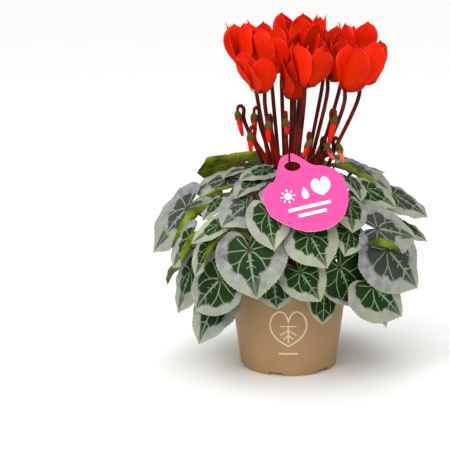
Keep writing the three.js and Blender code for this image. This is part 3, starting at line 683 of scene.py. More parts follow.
leaf_steps += [
    ("inner", "SUBTRACT", 1, "margin"),
    ("lobed", "LINEAR", "angle", 2.0, 2.9, 0, 0.16),
    ("inner", "ADD", "inner", "lobed"),
    ("scallops", "MULTIPLY", "angle", 9),
    ("scallops", "COSINE", "scallops"),
    ("inner", "MULTIPLY_ADD", "scallops", 0.03, "inner"),
    ("ragged", "MULTIPLY_ADD", "blotch", 0.26, -0.13),
    ("silver", "ADD", "edge", "ragged"),
    ("silver", "SUBTRACT", "silver", "inner"),
    ("silver", "SMOOTHSTEP", "silver", -0.03, 0.06, 0, 1),
    ("green", "MIX", "cloud", "#071303", "#1d4007"),
    # Painted sheen: on the leaves given it, the dark centre turns grey like the sky reflected on satin.
    ("sheen_grey", "MIX", "cloud", "#282a2b", "#50514f"),
    ("centre", "MIX", "sheen_share", "green", "sheen_grey"),
    ("patches", "LINEAR", "blotch", 0.32, 0.7, 0, 1),
    ("pale", "MIX", "patches", "#5e5c6b", "#94929f"),
    ("tinged", "LINEAR", "y", -0.2, 0.9, 0.2, 0.9),
    ("tinged", "ADD", "lime", "tinged"),
    ("tinged", "MULTIPLY", "tinged", "cloud"),
    ("tinged", "LINEAR", "tinged", 0, 1, 0, 1),
    ("pale", "MIX", "tinged", "pale", "#a5aa88"),
    ("speckle", "LINEAR", "fine", 0.45, 0.75, 0, 0.35),
    ("pale", "MIX", "speckle", "pale", "#b2b5a8"),
    ("top", "MIX", "silver", "centre", "pale"),
    ("wedge", "MULTIPLY_ADD", "y", -0.42, 0.42),
    ("wedge", "SUBTRACT", "wedge", "side"),
    ("wedge", "LINEAR", "wedge", -0.01, 0.03, 0, 1),
    ("begun", "MULTIPLY_ADD", "blotch", 0.1, "y"),
    ("begun", "LINEAR", "begun", 0.56, 0.66, 0, 0.8),
    ("wedge", "MULTIPLY", "wedge", "begun"),
    ("top", "MIX", "wedge", "top", "#2b352b"),
    ("shown", "LINEAR", "silver", 0, 1, 0.7, 0.3),
    ("shown", "MULTIPLY", "veins", "shown"),
    ("top", "MIX", "shown", "top", "#8fa883"),
    ("hem", "LINEAR", "edge", 0.94, 1, 0, 0.55),
    ("top", "MIX", "hem", "top", "#9fac78"),
    ("throat", "LINEAR", "reach", 0.03, 0.1, 0.9, 0),
    ("top", "MIX", "throat", "top", "#2a150c"),
    ("patches", "LINEAR", "cloud", 0.38, 0.62, 0, 1),
    ("olive", "MIX", "patches", "#3b4a06", "#7d931f"),
    ("shown", "MULTIPLY", "veins", 0.35),
    ("olive", "MIX", "shown", "olive", "#869440"),
    ("blush", "LINEAR", "reach", 0.1, 0.5, 0.6, 0),
    ("olive", "MIX", "blush", "olive", "#7a5a30"),
    ("colour", "MIX", "under", "top", "olive"),
    ("relief", "MULTIPLY_ADD", "veins", -0.5, "fine"),
]
leaf_skin = finish(
    "cyclamen_leaf", {"blotch": (9.09, 3), "cloud": (22.2, 2), "fine": (1.429, 3)}, leaf_steps, 0.5, 0.1,
    ("relief", 0.5, 0.5),
    {"flat": ("x", "y", "edge"), "kind": ("margin", "lime", "under"), "sheen_share": ("sheen_share",)})

# A living stem, grown: smooth and faintly shiny, red brown with paler streaks.
leaf_stalk_skin = finish("leaf_stalk_skin", {"streaks": (5.56, 2)},
                         [("colour", "MIX", "streaks", "#32110a", "#5f4024")], 0.42)

# Stems of every sort: a polyline of points carries each stem's relative thickness, and a round skin is
# swept along it.
stem_tree, source, (stem_radius, stem_sides, stem_cover) = shape_tree(
    "stem_skin", [("Radius", "Float"), ("Sides", "Int"), ("Skin", "Material")])
swell = add_node(stem_tree, "GeometryNodeInputNamedAttribute", {"Name": "swell"}, data_type="FLOAT")
girth = add_node(stem_tree, "ShaderNodeMath", {0: swell, 1: source.outputs[1]}, operation="MULTIPLY")
lines = add_node(stem_tree, "GeometryNodeMeshToCurve", {0: source.outputs[0]})
ring = add_node(stem_tree, "GeometryNodeCurvePrimitiveCircle",
                {"Resolution": source.outputs[2], "Radius": 1.0})
skin = add_node(stem_tree, "GeometryNodeCurveToMesh",
                {"Curve": lines, "Profile Curve": ring, "Scale": girth, "Fill Caps": True})
skin = add_node(stem_tree, "GeometryNodeSetShadeSmooth", {0: skin})
skin = add_node(stem_tree, "GeometryNodeRealizeInstances", {0: skin})
skin = add_node(stem_tree, "GeometryNodeSetMaterial", {0: skin, "Material": source.outputs[3]})
add_node(stem_tree, "NodeGroupOutput", {0: skin})


def smooth_route(knots, steps):
    """Points along a centripetal Catmull-Rom curve through the knots, and how far along each is."""
    knots = np.array(knots, float)
    padded = np.vstack([knots[0] * 2 - knots[1], knots, knots[-1] * 2 - knots[-2]])
    spans = np.sqrt(np.linalg.norm(np.diff(padded, axis=0), axis=1))
    route = []
    for k in range(1, len(padded) - 2):
        t0, t1, t2, t3 = np.concatenate([[0], np.cumsum(spans[k - 1:k + 2])])
        p0, p1, p2, p3 = padded[k - 1:k + 3]
        for t in np.linspace(t1, t2, steps, endpoint=False):
            a1 = p0 * (t1 - t) / (t1 - t0) + p1 * (t - t0) / (t1 - t0)
            a2 = p1 * (t2 - t) / (t2 - t1) + p2 * (t - t1) / (t2 - t1)
            a3 = p2 * (t3 - t) / (t3 - t2) + p3 * (t - t2) / (t3 - t2)
            b1 = a1 * (t2 - t) / (t2 - t0) + a2 * (t - t0) / (t2 - t0)
            b2 = a2 * (t3 - t) / (t3 - t1) + a3 * (t - t1) / (t3 - t1)
            route.append(b1 * (t2 - t) / (t2 - t1) + b2 * (t - t1) / (t2 - t1))
    route.append(knots[-1])
    return np.array(route)


def stems(name, routes, radius, sides, cover):
    """One object with a round skin along each route. A route is its points and its relative thickness."""
    points = []
    edges = []
    swells = []
    for route, thickness in routes:
        edges += [(len(points) + i, len(points) + i + 1) for i in range(len(route) - 1)]
        points += [tuple(point * MM) for point in route]
        swells += list(thickness)
    mesh = bpy.data.meshes.new(name)
    mesh.from_pydata(points, edges, [])
    piece = bpy.data.objects.new(name, mesh)
    mark(piece, "swell", swells)
    bpy.context.scene.collection.objects.link(piece)
    modifier = piece.modifiers.new("skin", "NODES")
    modifier.node_group = stem_tree
    modifier[stem_radius] = radius * MM
    modifier[stem_sides] = sides
    modifier[stem_cover] = cover
    settle(piece)
    return piece


# Each shoot's foot stands on one of two rings on the crown, between an even spacing and its bearing.
PETIOLE_RADIUS = 1.4
PETIOLE_SIDES = 9
FORK_HEIGHT = 7
HOLLOW = (7, 1.5)  # where a leaf stalk starts to curve in: below the blade and behind its notch
KNEE = (0.68, 102)  # the height of its bend between crown and blade, and the least height
RINGS = (25, 17.5)


def bearing(shoot):
    """The direction in which a shoot's first leaf lies from the pot's middle."""
    notch = shoot[2][0][0]
    return math.atan2(notch[1], notch[0])


feet = {}
for ring, ring_radius in enumerate(RINGS):
    shoots = sorted((shoot for shoot in SHOOTS if shoot[1] == ring), key=bearing)
    steps = [(i + 0.5) / len(shoots) * 2 * math.pi - math.pi for i in range(len(shoots))]
    drift = sum(bearing(shoot) - step for shoot, step in zip(shoots, steps)) / len(shoots)
    for shoot, step in zip(shoots, steps):
        angle = (step + drift + bearing(shoot)) / 2
        foot = (ring_radius * math.cos(angle), ring_radius * math.sin(angle), CROWN_Z + CLEARANCE)
        feet[shoot[0]] = np.array(foot)


def petiole(foot, row):
    """A leaf stalk's route from its foot over a fork and a knee into the notch, and its thickness."""
    notch, tip = np.array(row[0], float), np.array(row[1], float)
    along, face, _ = blade_axes(notch, tip, row[3])
    length = np.linalg.norm(tip - notch)
    join = notch + face * (NOTCH_RISE * length - 0.5)
    below = join - face * HOLLOW[0] - along * HOLLOW[1]
    fork = foot + [0, 0, FORK_HEIGHT]
    knee = (fork + join) / 2
    knee[2] = max(CROWN_Z + (join[2] - CROWN_Z) * KNEE[0], KNEE[1])
    route = smooth_route([foot, fork, knee, below, join], 7)
    thickness = np.interp(np.linspace(0, 1, len(route)), [0, 0.2, 0.85, 1], [1.3, 1.0, 0.85, 0.6])
    return route, thickness


for name, _, rows in SHOOTS:
    blades = [blade(row, ROLLED.get((name, i), 0)) for i, row in enumerate(rows)]
    piece = add_mesh(name + "_foliage", *stacked(blades), leaf_skin)
    flats, kinds, sheen_shares = [], [], []
    for i, (*_, margin, lime) in enumerate(rows):
        for under in (0, 1):
            flats.append(np.column_stack([flat_x, flat_y, flat_edge]))
            kinds.append(np.tile([margin, lime, under], (len(flat_x), 1)))
            sheen_shares.append(np.full(len(flat_x), PAINTED_SHEEN.get((name, i), 0)))
    mark(piece, "flat", np.vstack(flats))
    mark(piece, "kind", np.vstack(kinds))
    # How far each leaf's centre is painted grey as a sheen.
    mark(piece, "sheen_share", np.concatenate(sheen_shares))
    stalk_piece = stems(name + "_stalks", [petiole(feet[name], row) for row in rows], PETIOLE_RADIUS,
                        PETIOLE_SIDES, leaf_stalk_skin)
    with bpy.context.temp_override(active_object=piece, selected_editable_objects=[piece, stalk_piece]):
        bpy.ops.object.join()
    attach(piece, "root")
    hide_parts(name)


# ---- Flower stalks: maroon stems that fan out above the leaves and hook over at the top ----
# Smooth fleshy stems, all from the middle of the crown. A bloom or a bud hangs from each hook.
BLOOMS = [  # mouth of the tube, lean of the tips, which random petals it has, and size
    ((-43, 2, 316), (-1, 0), 0, 1.0),
    ((-22, 38, 315), (-4, 4), 25, 1.0),
    ((-14, -8, 312), (2, -2), 50, 0.98),
    ((10, 30, 321), (0, 3), 10, 1.0),
    ((24, -2, 324), (-2, -2), 40, 1.0),
    ((42, 48, 311), (2, 4), 15, 0.95),
    ((19, -48, 303), (0, -4), 30, 0.98),
    ((47, -22, 305), (6, -3), 5, 1.02),
    ((63, 18, 314), (4, 0), 35, 1.0),
    ((62, -54, 299), (14, -4), 20, 1.0),
    ((-28, -46, 297), (-6, -6), 45, 0.9),
    ((80, -16, 301), (0, 2), 0, 0.93),
    ((5, -23, 287), (-2, -2), 44, 0.98),
    ((14, 66, 306), (0, 8), 42, 0.95),
]
BUDS = [  # top of the calyx, lean of the tip and length
    ((-52, -26, 276), (5, 0), 26),
    ((-35, -32, 275), (1, 0), 21),
    ((-20, -52, 270), (0, 0), 22),
    ((-38, -54, 259), (0, 0), 20),
    ((-3, -48, 272), (2, 0), 17),
    ((47, -56, 276), (-7, 0), 30),
    ((37, -58, 248), (8, 0), 17),
    ((50, -52, 247), (5, 0), 20),
    ((22, -66, 254), (-7, 0), 19),
]
STALK_RADIUS = 1.6
STALK_SIDES = 12
STALK_CLOSE = 0.13  # how far out the feet stand on the crown, against the ends
STALK_FAN = ((165, 0.36), (222, 0.6))  # heights, and how far out the stalks have come by then
BLOOM_HOOK = (8, 18)  # the hook's reach, and how far below its end the stalk is still straight
BUD_HOOK = (7, 8)
TUBE_LENGTH = 8

# A living stem, grown: fleshy and dull, streaked maroon and browner towards the hooks.
maroon_stem = finish("maroon_stem", {"streaks": (25, 3)}, [
    ("streaks", "LINEAR", "streaks", 0.35, 0.65, 0, 1),
    ("maroon", "MIX", "streaks", "#2c0503", "#981a0a"),
    ("browned", "LINEAR", "height", 0.23, 0.3, 0, 0.6),
    ("colour", "MIX", "browned", "maroon", "#2a0d06"),
], 0.5, 0.12, marks={"place": ("across", "depth", "height")})


def stalk_route(end, hook, drop):
    """A flower stalk's route from the crown, fanned out and hooked over to its end, and its thickness."""
    end = np.array(end, float)
    inward = -unit(np.array([end[0], end[1], 0]))
    beside = end + inward * hook
    knots = [(end[0] * STALK_CLOSE, end[1] * STALK_CLOSE, CROWN_Z + CLEARANCE)]
    knots += [(beside[0] * share, beside[1] * share, z) for z, share in STALK_FAN]
    knots.append((beside[0], beside[1], end[2] - drop))
    for reach, rise in ((1, 0.25), (0.6, 0.75), (0.12, 0.62)):
        over = end + inward * hook * reach
        knots.append((over[0], over[1], end[2] + hook * rise))
    route = smooth_route([*knots, end], 8)
    thickness = np.interp(np.linspace(0, 1, len(route)), [0, 0.5, 0.85, 1], [1.3, 1.3, 1.15, 0.9])
    return route, thickness


routes = []
for mouth, _, _, size in BLOOMS:
    routes.append(stalk_route((mouth[0], mouth[1], mouth[2] + TUBE_LENGTH * size), *BLOOM_HOOK))
for calyx, _, _ in BUDS:
    routes.append(stalk_route(calyx, *BUD_HOOK))
stalks = stems("stalk_bunch", routes, STALK_RADIUS, STALK_SIDES, maroon_stem)
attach(stalks, "root")
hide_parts("flower_stalks")


# ---- Blooms: five broad scarlet petals swept straight up from a short tube ----
# Soft velvety petals, each with a narrow claw, a fold down its middle and a gently ruffled edge.
TUBE_RADIUS = 4.3
TUBE_SIDES = 24
PETAL_OUT = (3, 7.5, 11.4, 13.8, 15, 15.2)  # a petal's middle line, out from the tube and up
PETAL_UP = (0.8, 1.2, 9, 22, 35, 46)
PETAL_TURNS = (64, 128, 192, 256, 320)
PETAL_CUP = 0.24  # how far the sides of a petal bend in, against half its width
PETAL_RISE = 44  # the height of the tips, at which a bloom has its full lean
PETAL_ROWS = 28
PETAL_COLUMNS = 18
PETAL_CLAW = 2.2  # half the width of a petal where it leaves the tube
PETAL_WIDE = 14.0
PETAL_THICK = (0.6, 0.25)
CLAW_END = 0.08  # where along the petal its claw ends, and where it is widest
WIDEST = 0.6
LOOSE = (11, 3)  # how many degrees a petal may lean out: in the middle of the bunch, and at its sides
OUTER_BLOOMS = 40
# How much single petals differ, from the least to the most, in degrees, shares and millimetres.
TURNED = (-7, 7)
UPRIGHT = -7  # the least that a petal may lean out
SWIRL = (4, 44)  # how a petal turns about its own length, at its claw and further on
SWIRL_ON = (-26, 62)
BROAD = (0.9, 1.12)
TALL = (0.82, 1.05)
FLARE = (-3, 6)
SWAY = (-7, 7)
FOLD = (1.0, 0.14)  # the fold down the middle of a petal: its depth and its half width
PETAL_WAVES = ((3.1, 6.5, 1.4), (1.1, 15, 3))  # height, and waves along and across: long and short ones
PEAK = (2.4, 0.75)  # how far the tip is drawn up, and where along the petal that starts

# A living petal, grown: velvety and quite matt, scarlet with a dark claw and fine ribs along it. Its
# orange middle is darker as painted shade, its redder margin and a pale rim at the tip are brighter as
# painted light through the thin edge, the ribs carry painted shade in their grooves, and some petals are
# darker at random as painted shade for petals in shadow.
petal_skin = finish("velvet_petal", {"mottle": (14.3, 3)}, [
    ("fan", "MULTIPLY", "across", 40),
    ("fan", "SINE", "fan"),
    ("fan", "LINEAR", "fan", -1, 1, 0, 1),
    # Painted shade and light: the orange middle is darker, the redder margin brighter as if lit through its
    # thin edge.
    ("middle", "MIX", "mottle", "#cc2000", "#f42a00"),
    ("margin", "MIX", "mottle", "#fa1600", "#ff301c"),
    ("side", "ABSOLUTE", "across"),
    ("beside", "MAXIMUM", "side", "along"),
    ("beside", "LINEAR", "beside", 0.55, 0.97, 0, 1),
    ("tone", "MIX", "beside", "middle", "margin"),
    # Painted shade: petals chosen at random are darkened, standing for petals in shadow.
    ("shaded_share", "MULTIPLY", "random_shade", 0.65),
    ("tone", "MIX", "shaded_share", "tone", "#a82600"),
    # Painted shade: the fine ribs are darkened in their grooves, where the relief sinks.
    ("rib_shade", "MULTIPLY", "fan", 0.14),
    ("tone", "MIX", "rib_shade", "tone", "#981a00"),
    ("claw", "LINEAR", "along", 0.05, 0.3, 0.6, 0),
    ("tone", "MIX", "claw", "tone", "#7e1402"),
    # Painted light: a pale rim at the tip, as if lit through the thin petal.
    ("rim", "MULTIPLY", "side", "along"),
    ("rim", "LINEAR", "rim", 0.6, 1, 0, 0.7),
    ("colour", "MIX", "rim", "tone", "#ff4338"),
], 0.6, 0.04, ("fan", 0.35, 0.5), {"petal": ("across", "along", "random_shade")})

# A living tube, grown: smooth and slightly shiny, a darker red than the petals.
tube_skin = finish("dark_flower_tube", {"mottle": (5, 2)},
                   [("colour", "MIX", "mottle", "#5a0d08", "#a01208")], 0.5)

petal_run = smooth_route([(out, up, 0) for out, up in zip(PETAL_OUT, PETAL_UP)], 12)
lengths = np.concatenate([[0], np.cumsum(np.linalg.norm(np.diff(petal_run, axis=0), axis=1))])
petal_t = 1 - (1 - np.linspace(0, 1, PETAL_ROWS)) ** 1.4
run_out = np.interp(petal_t, lengths / lengths[-1], petal_run[:, 0])
run_up = np.interp(petal_t, lengths / lengths[-1], petal_run[:, 1])
swelling = np.clip((petal_t - CLAW_END) / (WIDEST - CLAW_END), 0, 1)
half_width = PETAL_CLAW + (PETAL_WIDE - PETAL_CLAW) * np.sin(swelling * math.pi / 2) ** 1.25
closing = np.clip((petal_t - WIDEST) / (1 - WIDEST), 0, 0.998)
half_width *= (1 - closing ** 2.2) ** 0.58


def petal(turn, loose, chance):
    """A petal's front points in millimetres about the mouth, as rows of columns."""
    turn = math.radians(turn + chance.uniform(*TURNED))
    splay = math.radians(chance.uniform(UPRIGHT, loose))
    swirl, further = chance.uniform(*SWIRL), chance.uniform(*SWIRL_ON)
    width = chance.uniform(*BROAD)
    rise = chance.uniform(*TALL)
    flare, sway = chance.uniform(*FLARE), chance.uniform(*SWAY)
    phase = chance.uniform(0, FULL_TURN)
    (deep, along_it, across_it), (fine, fine_along, fine_across) = PETAL_WAVES
    outwards = np.array([math.cos(turn), math.sin(turn), 0])
    sideways = np.array([-outwards[1], outwards[0], 0])
    points = []
    for t, out, up, half in zip(petal_t, run_out, run_up, half_width * width):
        angle = math.radians(swirl + further * t * t * (3 - 2 * t))
        across = sideways * math.cos(angle) + outwards * math.sin(angle)
        forward = outwards * math.cos(angle) - sideways * math.sin(angle)
        splayed = out * math.cos(splay) + up * math.sin(splay) + flare * t ** 4
        centre = outwards * splayed + sideways * sway * t * t
        centre[2] = (up * math.cos(splay) - (out - 3) * math.sin(splay) * 0.3) * rise
        for v in np.linspace(-1, 1, PETAL_COLUMNS + 1):
            fold = -FOLD[0] * math.exp(-(v / FOLD[1]) ** 2) * math.sin(math.pi * min(t * 1.1, 1))
            ruffle = deep * math.sin(along_it * t + across_it * v + phase) * v * v * t
            ruffle += fine * math.sin(fine_along * t + fine_across * v + 2 * phase) * abs(v) ** 3 * t
            bow = -PETAL_CUP * half * v * v + fold + ruffle * min(half / 8, 1)
            peak = PEAK[0] * (1 - abs(v)) * max(t - PEAK[1], 0) / (1 - PEAK[1])
            points.append(centre + across * v * half + forward * bow + np.array([0, 0, peak]))
    return np.array(points)


petal_faces = []
for row in range(PETAL_ROWS - 1):
    for column in range(PETAL_COLUMNS):
        a = row * (PETAL_COLUMNS + 1) + column
        petal_faces.append((a, a + 1, a + PETAL_COLUMNS + 2, a + PETAL_COLUMNS + 1))
last_row = (PETAL_ROWS - 1) * (PETAL_COLUMNS + 1)
petal_rim = list(range(PETAL_COLUMNS + 1))
petal_rim += [row * (PETAL_COLUMNS + 1) + PETAL_COLUMNS for row in range(1, PETAL_ROWS)]
petal_rim += [last_row + column for column in range(PETAL_COLUMNS - 1, -1, -1)]
petal_rim += [row * (PETAL_COLUMNS + 1) for row in range(PETAL_ROWS - 2, 0, -1)]
petal_rim = petal_rim[::-1]
petal_u = np.tile(np.linspace(-1, 1, PETAL_COLUMNS + 1), PETAL_ROWS)
petal_v = np.repeat(petal_t, PETAL_COLUMNS + 1)
tube_profile = [
    (0, 2.0), (TUBE_RADIUS * 0.6, 1.5), (TUBE_RADIUS * 0.92, 0.2), (TUBE_RADIUS, 0.5),
    (TUBE_RADIUS * 0.98, 2.5), (TUBE_RADIUS * 0.85, 5.5), (TUBE_RADIUS * 0.72, TUBE_LENGTH - 0.8),
    (TUBE_RADIUS * 0.4, TUBE_LENGTH), (0, TUBE_LENGTH),
]
tube_points, tube_faces = turned(tube_profile, TUBE_SIDES)
petal_edge = np.maximum(np.abs(petal_u), petal_v) ** 3
petal_thickness = PETAL_THICK[0] + (PETAL_THICK[1] - PETAL_THICK[0]) * petal_edge

for i, (mouth, (lean_x, lean_y), pick, size) in enumerate(BLOOMS):
    chance = np.random.default_rng(100 + pick + i)
    parts = [(tube_points / MM, tube_faces)]
    marks = [np.zeros((len(tube_points), 3))]
    loose = LOOSE[abs(mouth[0]) > OUTER_BLOOMS]
    for turn in PETAL_TURNS:
        front = petal(turn, loose, chance)
        back = front - surface_normals(front, petal_faces) * petal_thickness[:, None]
        parts.append(thin_solid(front, back, petal_faces, petal_rim))
        # The third mark is each petal's random share of painted shade.
        marks += [np.column_stack([petal_u, petal_v, np.full(len(petal_u), chance.uniform())])] * 2
    points, faces = stacked(parts)
    spin = math.atan2(-mouth[1], -mouth[0])
    points = points @ np.array(Matrix.Rotation(spin, 3, "Z").transposed()) * size
    lean = np.maximum(points[:, 2] - TUBE_LENGTH, 0) / (PETAL_RISE * size)
    points += np.outer(lean, (lean_x, lean_y, 0)) + mouth
    name = "bloom_%02d" % (i + 1)
    piece = add_mesh(name + "_petals", points * MM, faces, petal_skin, tube_skin)
    on_tube = np.arange(len(faces)) < len(tube_faces)
    piece.data.polygons.foreach_set("material_index", on_tube.astype(int))
    mark(piece, "petal", np.vstack(marks))
    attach(piece, "root")
    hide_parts(name)


# ---- Buds: furled scarlet petals under a five-toothed calyx, hanging from their hooks ----
# The petals are wrapped in a spiral into a slim point; the olive-brown calyx clasps their top.
BUD_RADIUS = 3.6
BUD_SIDES = 30
FURLED = 0.9  # how much narrower the petals are than the calyx
FURL = 0.1  # how deep the grooves between the wrapped petals are
CALYX_LENGTH = 9
TOOTH_LENGTH = 0.7
TEETH_FROM = -0.15  # the height in the calyx below which it parts into teeth
PALE_BUDS = {"bud_07": 0.6, "bud_08": 1.0}

# Unopened petals, grown: smooth scarlet with a slight shine, salmon on the two youngest buds.
bud_skin = finish("furled_petal", {"mottle": (8.33, 2)}, [
    ("scarlet", "MIX", "mottle", "#c61204", "#fb220c"),
    ("salmon", "MIX", "mottle", "#e0503a", "#ff8a6a"),
    ("colour", "MIX", "pale", "scarlet", "salmon"),
], 0.5, 0.1, marks={"pale": ("pale",)})

# A living sepal, grown: matt olive brown with a fine mottle.
sepal_skin = finish("olive_sepal", {"mottle": (2.5, 3)},
                    [("colour", "MIX", "mottle", "#33200a", "#6a5824")], 0.6, 0.12)

bud_profile = [
    (0, -1.0), (0.26, -0.99), (0.44, -0.955), (0.6, -0.88), (0.72, -0.76), (0.82, -0.62), (0.9, -0.46),
    (0.94, -0.3), (0.7, -0.15), (0.42, -0.06), (0, -0.05),
]
calyx_profile = [
    (0.28, 0.1), (0.56, 0.0), (0.86, -0.18), (1.08, -0.4), (1.12, -0.62), (1.02, -0.62), (0.98, -0.38),
    (0.72, -0.12),
]
sepals = []
for r, z in calyx_profile:
    for angle in 2 * math.pi * np.arange(BUD_SIDES) / BUD_SIDES:
        tooth = TOOTH_LENGTH * (0.5 + 0.5 * math.cos(5 * angle)) if z < TEETH_FROM else 0
        radius = r * BUD_RADIUS
        sepals.append((radius * math.cos(angle), radius * math.sin(angle), z * CALYX_LENGTH * (1 + tooth)))
sepal_faces = []
for ring in range(len(calyx_profile)):
    a, b = ring * BUD_SIDES, (ring + 1) % len(calyx_profile) * BUD_SIDES
    for i in range(BUD_SIDES):
        j = (i + 1) % BUD_SIDES
        sepal_faces.append((a + i, b + i, b + j, a + j))

for i, (calyx, (lean_x, lean_y), length) in enumerate(BUDS):
    petals, petal_sides = turned([(r * BUD_RADIUS * FURLED, z * length) for r, z in bud_profile], BUD_SIDES)
    petals = petals / MM
    angle = np.arctan2(petals[:, 1], petals[:, 0])
    furl = FURL * np.cos(5 * angle + petals[:, 2] / length * 5.5) * np.clip(-petals[:, 2] / 4 - 1, 0, 1)
    petals[:, :2] *= 1 + furl[:, None]
    points, faces = stacked([(petals, petal_sides), (np.array(sepals), sepal_faces)])
    points += np.outer(-points[:, 2] / length, (lean_x, lean_y, 0)) + calyx
    name = "bud_%02d" % (i + 1)
    piece = add_mesh(name + "_furled", points * MM, faces, bud_skin, sepal_skin)
    on_calyx = np.arange(len(faces)) >= len(petal_sides)
    piece.data.polygons.foreach_set("material_index", on_calyx.astype(int))
    mark(piece, "pale", [PALE_BUDS.get(name, 0)] * len(points))
    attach(piece, "root")
    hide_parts(name)


# ---- Care tag: a die-cut pink card that leans on the leaves ----
# Smooth coated card one millimetre thick, printed hot pink, its cut edge showing the pale core.
TAG_TILT = math.radians(55)
TAG_FACING = (0, -0.819, 0.574)
CUT_EDGE = 0.6  # a face whose normal is this far from the card's own is its cut edge

# Coated card, printed: an even pink with a soft shine, and a pale pink core where it is cut.
card = finish("coated_pink_card", {"mottle": (33.3, 2)},
              [("colour", "MIX", "mottle", "#f03f8d", "#f5489c")], 0.5, 0.3)
tree = card.node_tree
colour = tree.nodes["Principled BSDF"].inputs["Base Color"]
facing = add_node(tree, "ShaderNodeNewGeometry").outputs["True Normal"]
facing = add_node(tree, "ShaderNodeVectorMath", {0: facing, 1: TAG_FACING}, operation="DOT_PRODUCT")
facing = add_node(tree, "ShaderNodeMath", {0: facing.outputs["Value"]}, operation="ABSOLUTE")
edge = add_node(tree, "ShaderNodeMath", {0: facing, 1: CUT_EDGE}, operation="LESS_THAN")
pink = colour.links[0].from_socket
tone = add_node(tree, "ShaderNodeMixRGB", {0: edge, 1: pink, 2: linear("#f3d3e0")})
tree.links.new(tone.outputs[0], colour)
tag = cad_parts["tag"]
tag.data.materials.clear()
tag.data.materials.append(card)


# ---- Prints: plain white care symbols on the tag and a cream leaf spray on the pot ----
# Thin layers of ink that follow their surface. The tag shows a sun, a drop and a leaf above two bars.
INK = 0.06
INK_GAP = 0.01
TAG_CENTRE = np.array([17.3, -102, 208])
TAG_THICK = 1.0
PRINT_TURN = math.radians(14)
PRINT_MIDDLE = (0.5, -8.0)


def ribbon(route, width, closed=False):
    """Points and faces of a flat band of a given width along a route, its front to the viewer."""
    route = np.array(route, float)
    if len(route) == 2:
        route = np.linspace(route[0], route[1], 13)
    if closed:
        ahead_of = np.roll(route, -1, axis=0) - np.roll(route, 1, axis=0)
    else:
        ahead_of = np.gradient(route, axis=0)
    ahead_of /= np.linalg.norm(ahead_of, axis=1, keepdims=True)
    beside = np.column_stack([-ahead_of[:, 1], ahead_of[:, 0]]) * width / 2
    points = np.vstack([route - beside, route + beside])
    count = len(route)
    last = count if closed else count - 1
    faces = [(count + i, count + (i + 1) % count, (i + 1) % count, i) for i in range(last)]
    return points, faces


def disc(outline):
    """Points and faces of a filled shape, fanned from its middle."""
    outline = np.array(outline, float)
    count = len(outline)
    faces = [(count, i, (i + 1) % count) for i in range(count)]
    return np.vstack([outline, outline.mean(axis=0)]), faces


def circle(centre, radius, count=36):
    """The outline of a round spot."""
    angles = np.arange(count) / count * 2 * math.pi
    return np.column_stack([centre[0] + radius * np.cos(angles), centre[1] + radius * np.sin(angles)])


def small_leaf(centre, length, turn):
    """The outline of a little heart-shaped leaf, its notch at the centre."""
    turns = (np.arange(48) / 48) * 2 - 1
    reach = heart_reach(np.abs(turns)) * length
    angles = turns * math.pi + turn
    return np.column_stack([centre[0] + reach * np.sin(angles), centre[1] + reach * np.cos(angles)])


def printed(name, shapes, to_surface, cover):
    """One thin inked piece from flat shapes, laid on a surface."""
    flat, faces = stacked(shapes)
    count = len(flat)
    points = [to_surface(x, y, lift) for lift in (INK_GAP, INK_GAP + INK) for x, y in flat]
    whole, sides = [], {}
    for face in faces:
        corners = flat[list(face)]
        spin = np.sum(corners[:, 0] * np.roll(corners[:, 1], -1) - np.roll(corners[:, 0], -1) * corners[:, 1])
        face = face if spin > 0 else face[::-1]
        whole.append(tuple(corner + count for corner in face))
        whole.append(tuple(reversed(face)))
        for a, b in zip(face, face[1:] + face[:1]):
            if (b, a) in sides:
                del sides[b, a]
            else:
                sides[a, b] = (a, b, b + count, a + count)
    piece = add_mesh(name, np.array(points) * MM, whole + list(sides.values()), cover, smooth=False)
    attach(piece, "root")


def on_tag(x, y, lift):
    """A point of the print, set straight and then raised off the leaning tag."""
    turned_x = x * math.cos(PRINT_TURN) - y * math.sin(PRINT_TURN) + PRINT_MIDDLE[0]
    turned_y = x * math.sin(PRINT_TURN) + y * math.cos(PRINT_TURN) + PRINT_MIDDLE[1]
    z = TAG_THICK + lift
    return TAG_CENTRE + np.array([turned_x, turned_y * math.cos(TAG_TILT) - z * math.sin(TAG_TILT),
                                  turned_y * math.sin(TAG_TILT) + z * math.cos(TAG_TILT)])


# Printing ink, screened: opaque white with the satin of the card under it.
white_ink = finish("white_ink", {"mottle": (3.33, 2)},
                   [("colour", "MIX", "mottle", "#f4edf1", "#ffffff")], 0.5)

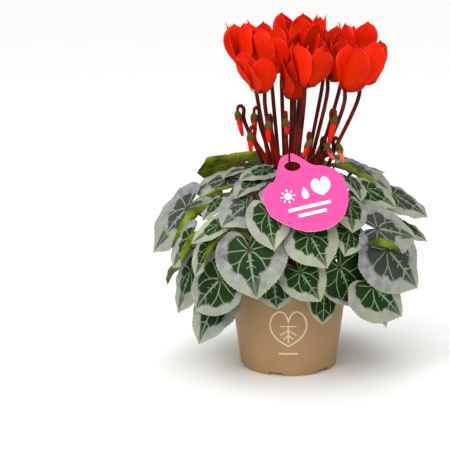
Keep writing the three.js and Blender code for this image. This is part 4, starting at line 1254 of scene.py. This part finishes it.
SYMBOL_Y = 7.0
SUN_AT = np.array([-17.0, SYMBOL_Y])
SUN_RADIUS = 3.6
SUN_RAYS = 8
RAY_FROM, RAY_TO, RAY_WIDTH = 4.9, 7.4, 1.4
DROP_SIZE = (4.6, 6.6)
SMALL_LEAF = ((17.0, SYMBOL_Y + 5.5), 12.5)
BARS = ((-20, 22, -8), (-12, 16, -15.5))
BAR_WIDTH = 3.4
shapes = [disc(circle(SUN_AT, SUN_RADIUS))]
for i in range(SUN_RAYS):
    angle = 2 * math.pi * i / SUN_RAYS
    ray = np.array([math.cos(angle), math.sin(angle)])
    shapes.append(ribbon([SUN_AT + ray * RAY_FROM, SUN_AT + ray * RAY_TO], RAY_WIDTH))
angles = np.arange(40) / 40 * 2 * math.pi
drop_x = DROP_SIZE[0] * np.sin(angles) * np.sin(angles / 2) ** 1.3
drop_y = SYMBOL_Y + DROP_SIZE[1] * np.cos(angles)
shapes.append(disc(np.column_stack([drop_x, drop_y])))
shapes.append(disc(small_leaf(*SMALL_LEAF, math.pi)))
for left, right, y in BARS:
    shapes.append(ribbon([(left, y), (right, y)], BAR_WIDTH))
printed("tag_print", shapes, on_tag, white_ink)


def on_pot(x, y, lift):
    """A point of the print, wrapped round the front of the pot."""
    radius = wall_radius(y) + lift
    angle = x / radius - math.pi / 2
    return np.array([radius * math.cos(angle), radius * math.sin(angle), y])


# Printing ink, stamped: matt cream that lets a little of the kraft brown through.
cream_ink = finish("cream_ink", {"mottle": (2, 3)},
                   [("colour", "MIX", "mottle", "#cbb897", "#e6d8c2")], 0.7)

LEAF_NOTCH = np.array([0.0, 59.5])
LEAF_LENGTH = 25.0
LEAF_LINE = 1.7
MIDDLE_LINE = 1.5
VEIN_LINE = 1.2
POT_BAR = ((-10, 26), (10, 26))
POT_BAR_WIDTH = 1.8
SPRAY = ((2.5, 8.5, 0.5), (7.5, 8.5, 5.5), (13, 5, 4.5))  # each vein pair: start, reach and drop
shapes = [ribbon(small_leaf(LEAF_NOTCH, LEAF_LENGTH, math.pi), LEAF_LINE, closed=True)]
shapes.append(ribbon([LEAF_NOTCH - [0, MIDDLE_LINE], LEAF_NOTCH - [0, LEAF_LENGTH * 0.84]], MIDDLE_LINE))
for side in (-1, 1):
    for start, reach_out, drop in SPRAY:
        begin = LEAF_NOTCH - [0, start]
        shapes.append(ribbon([begin + [side * 0.8, 0], begin + [side * reach_out, -drop]], VEIN_LINE))
shapes.append(ribbon(POT_BAR, POT_BAR_WIDTH))
printed("pot_print", shapes, on_pot, cream_ink)

sizes = {"cad": [list(map(float, corner)) for corner in cad_box],
         "visual": [list(map(float, corner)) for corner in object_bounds()]}
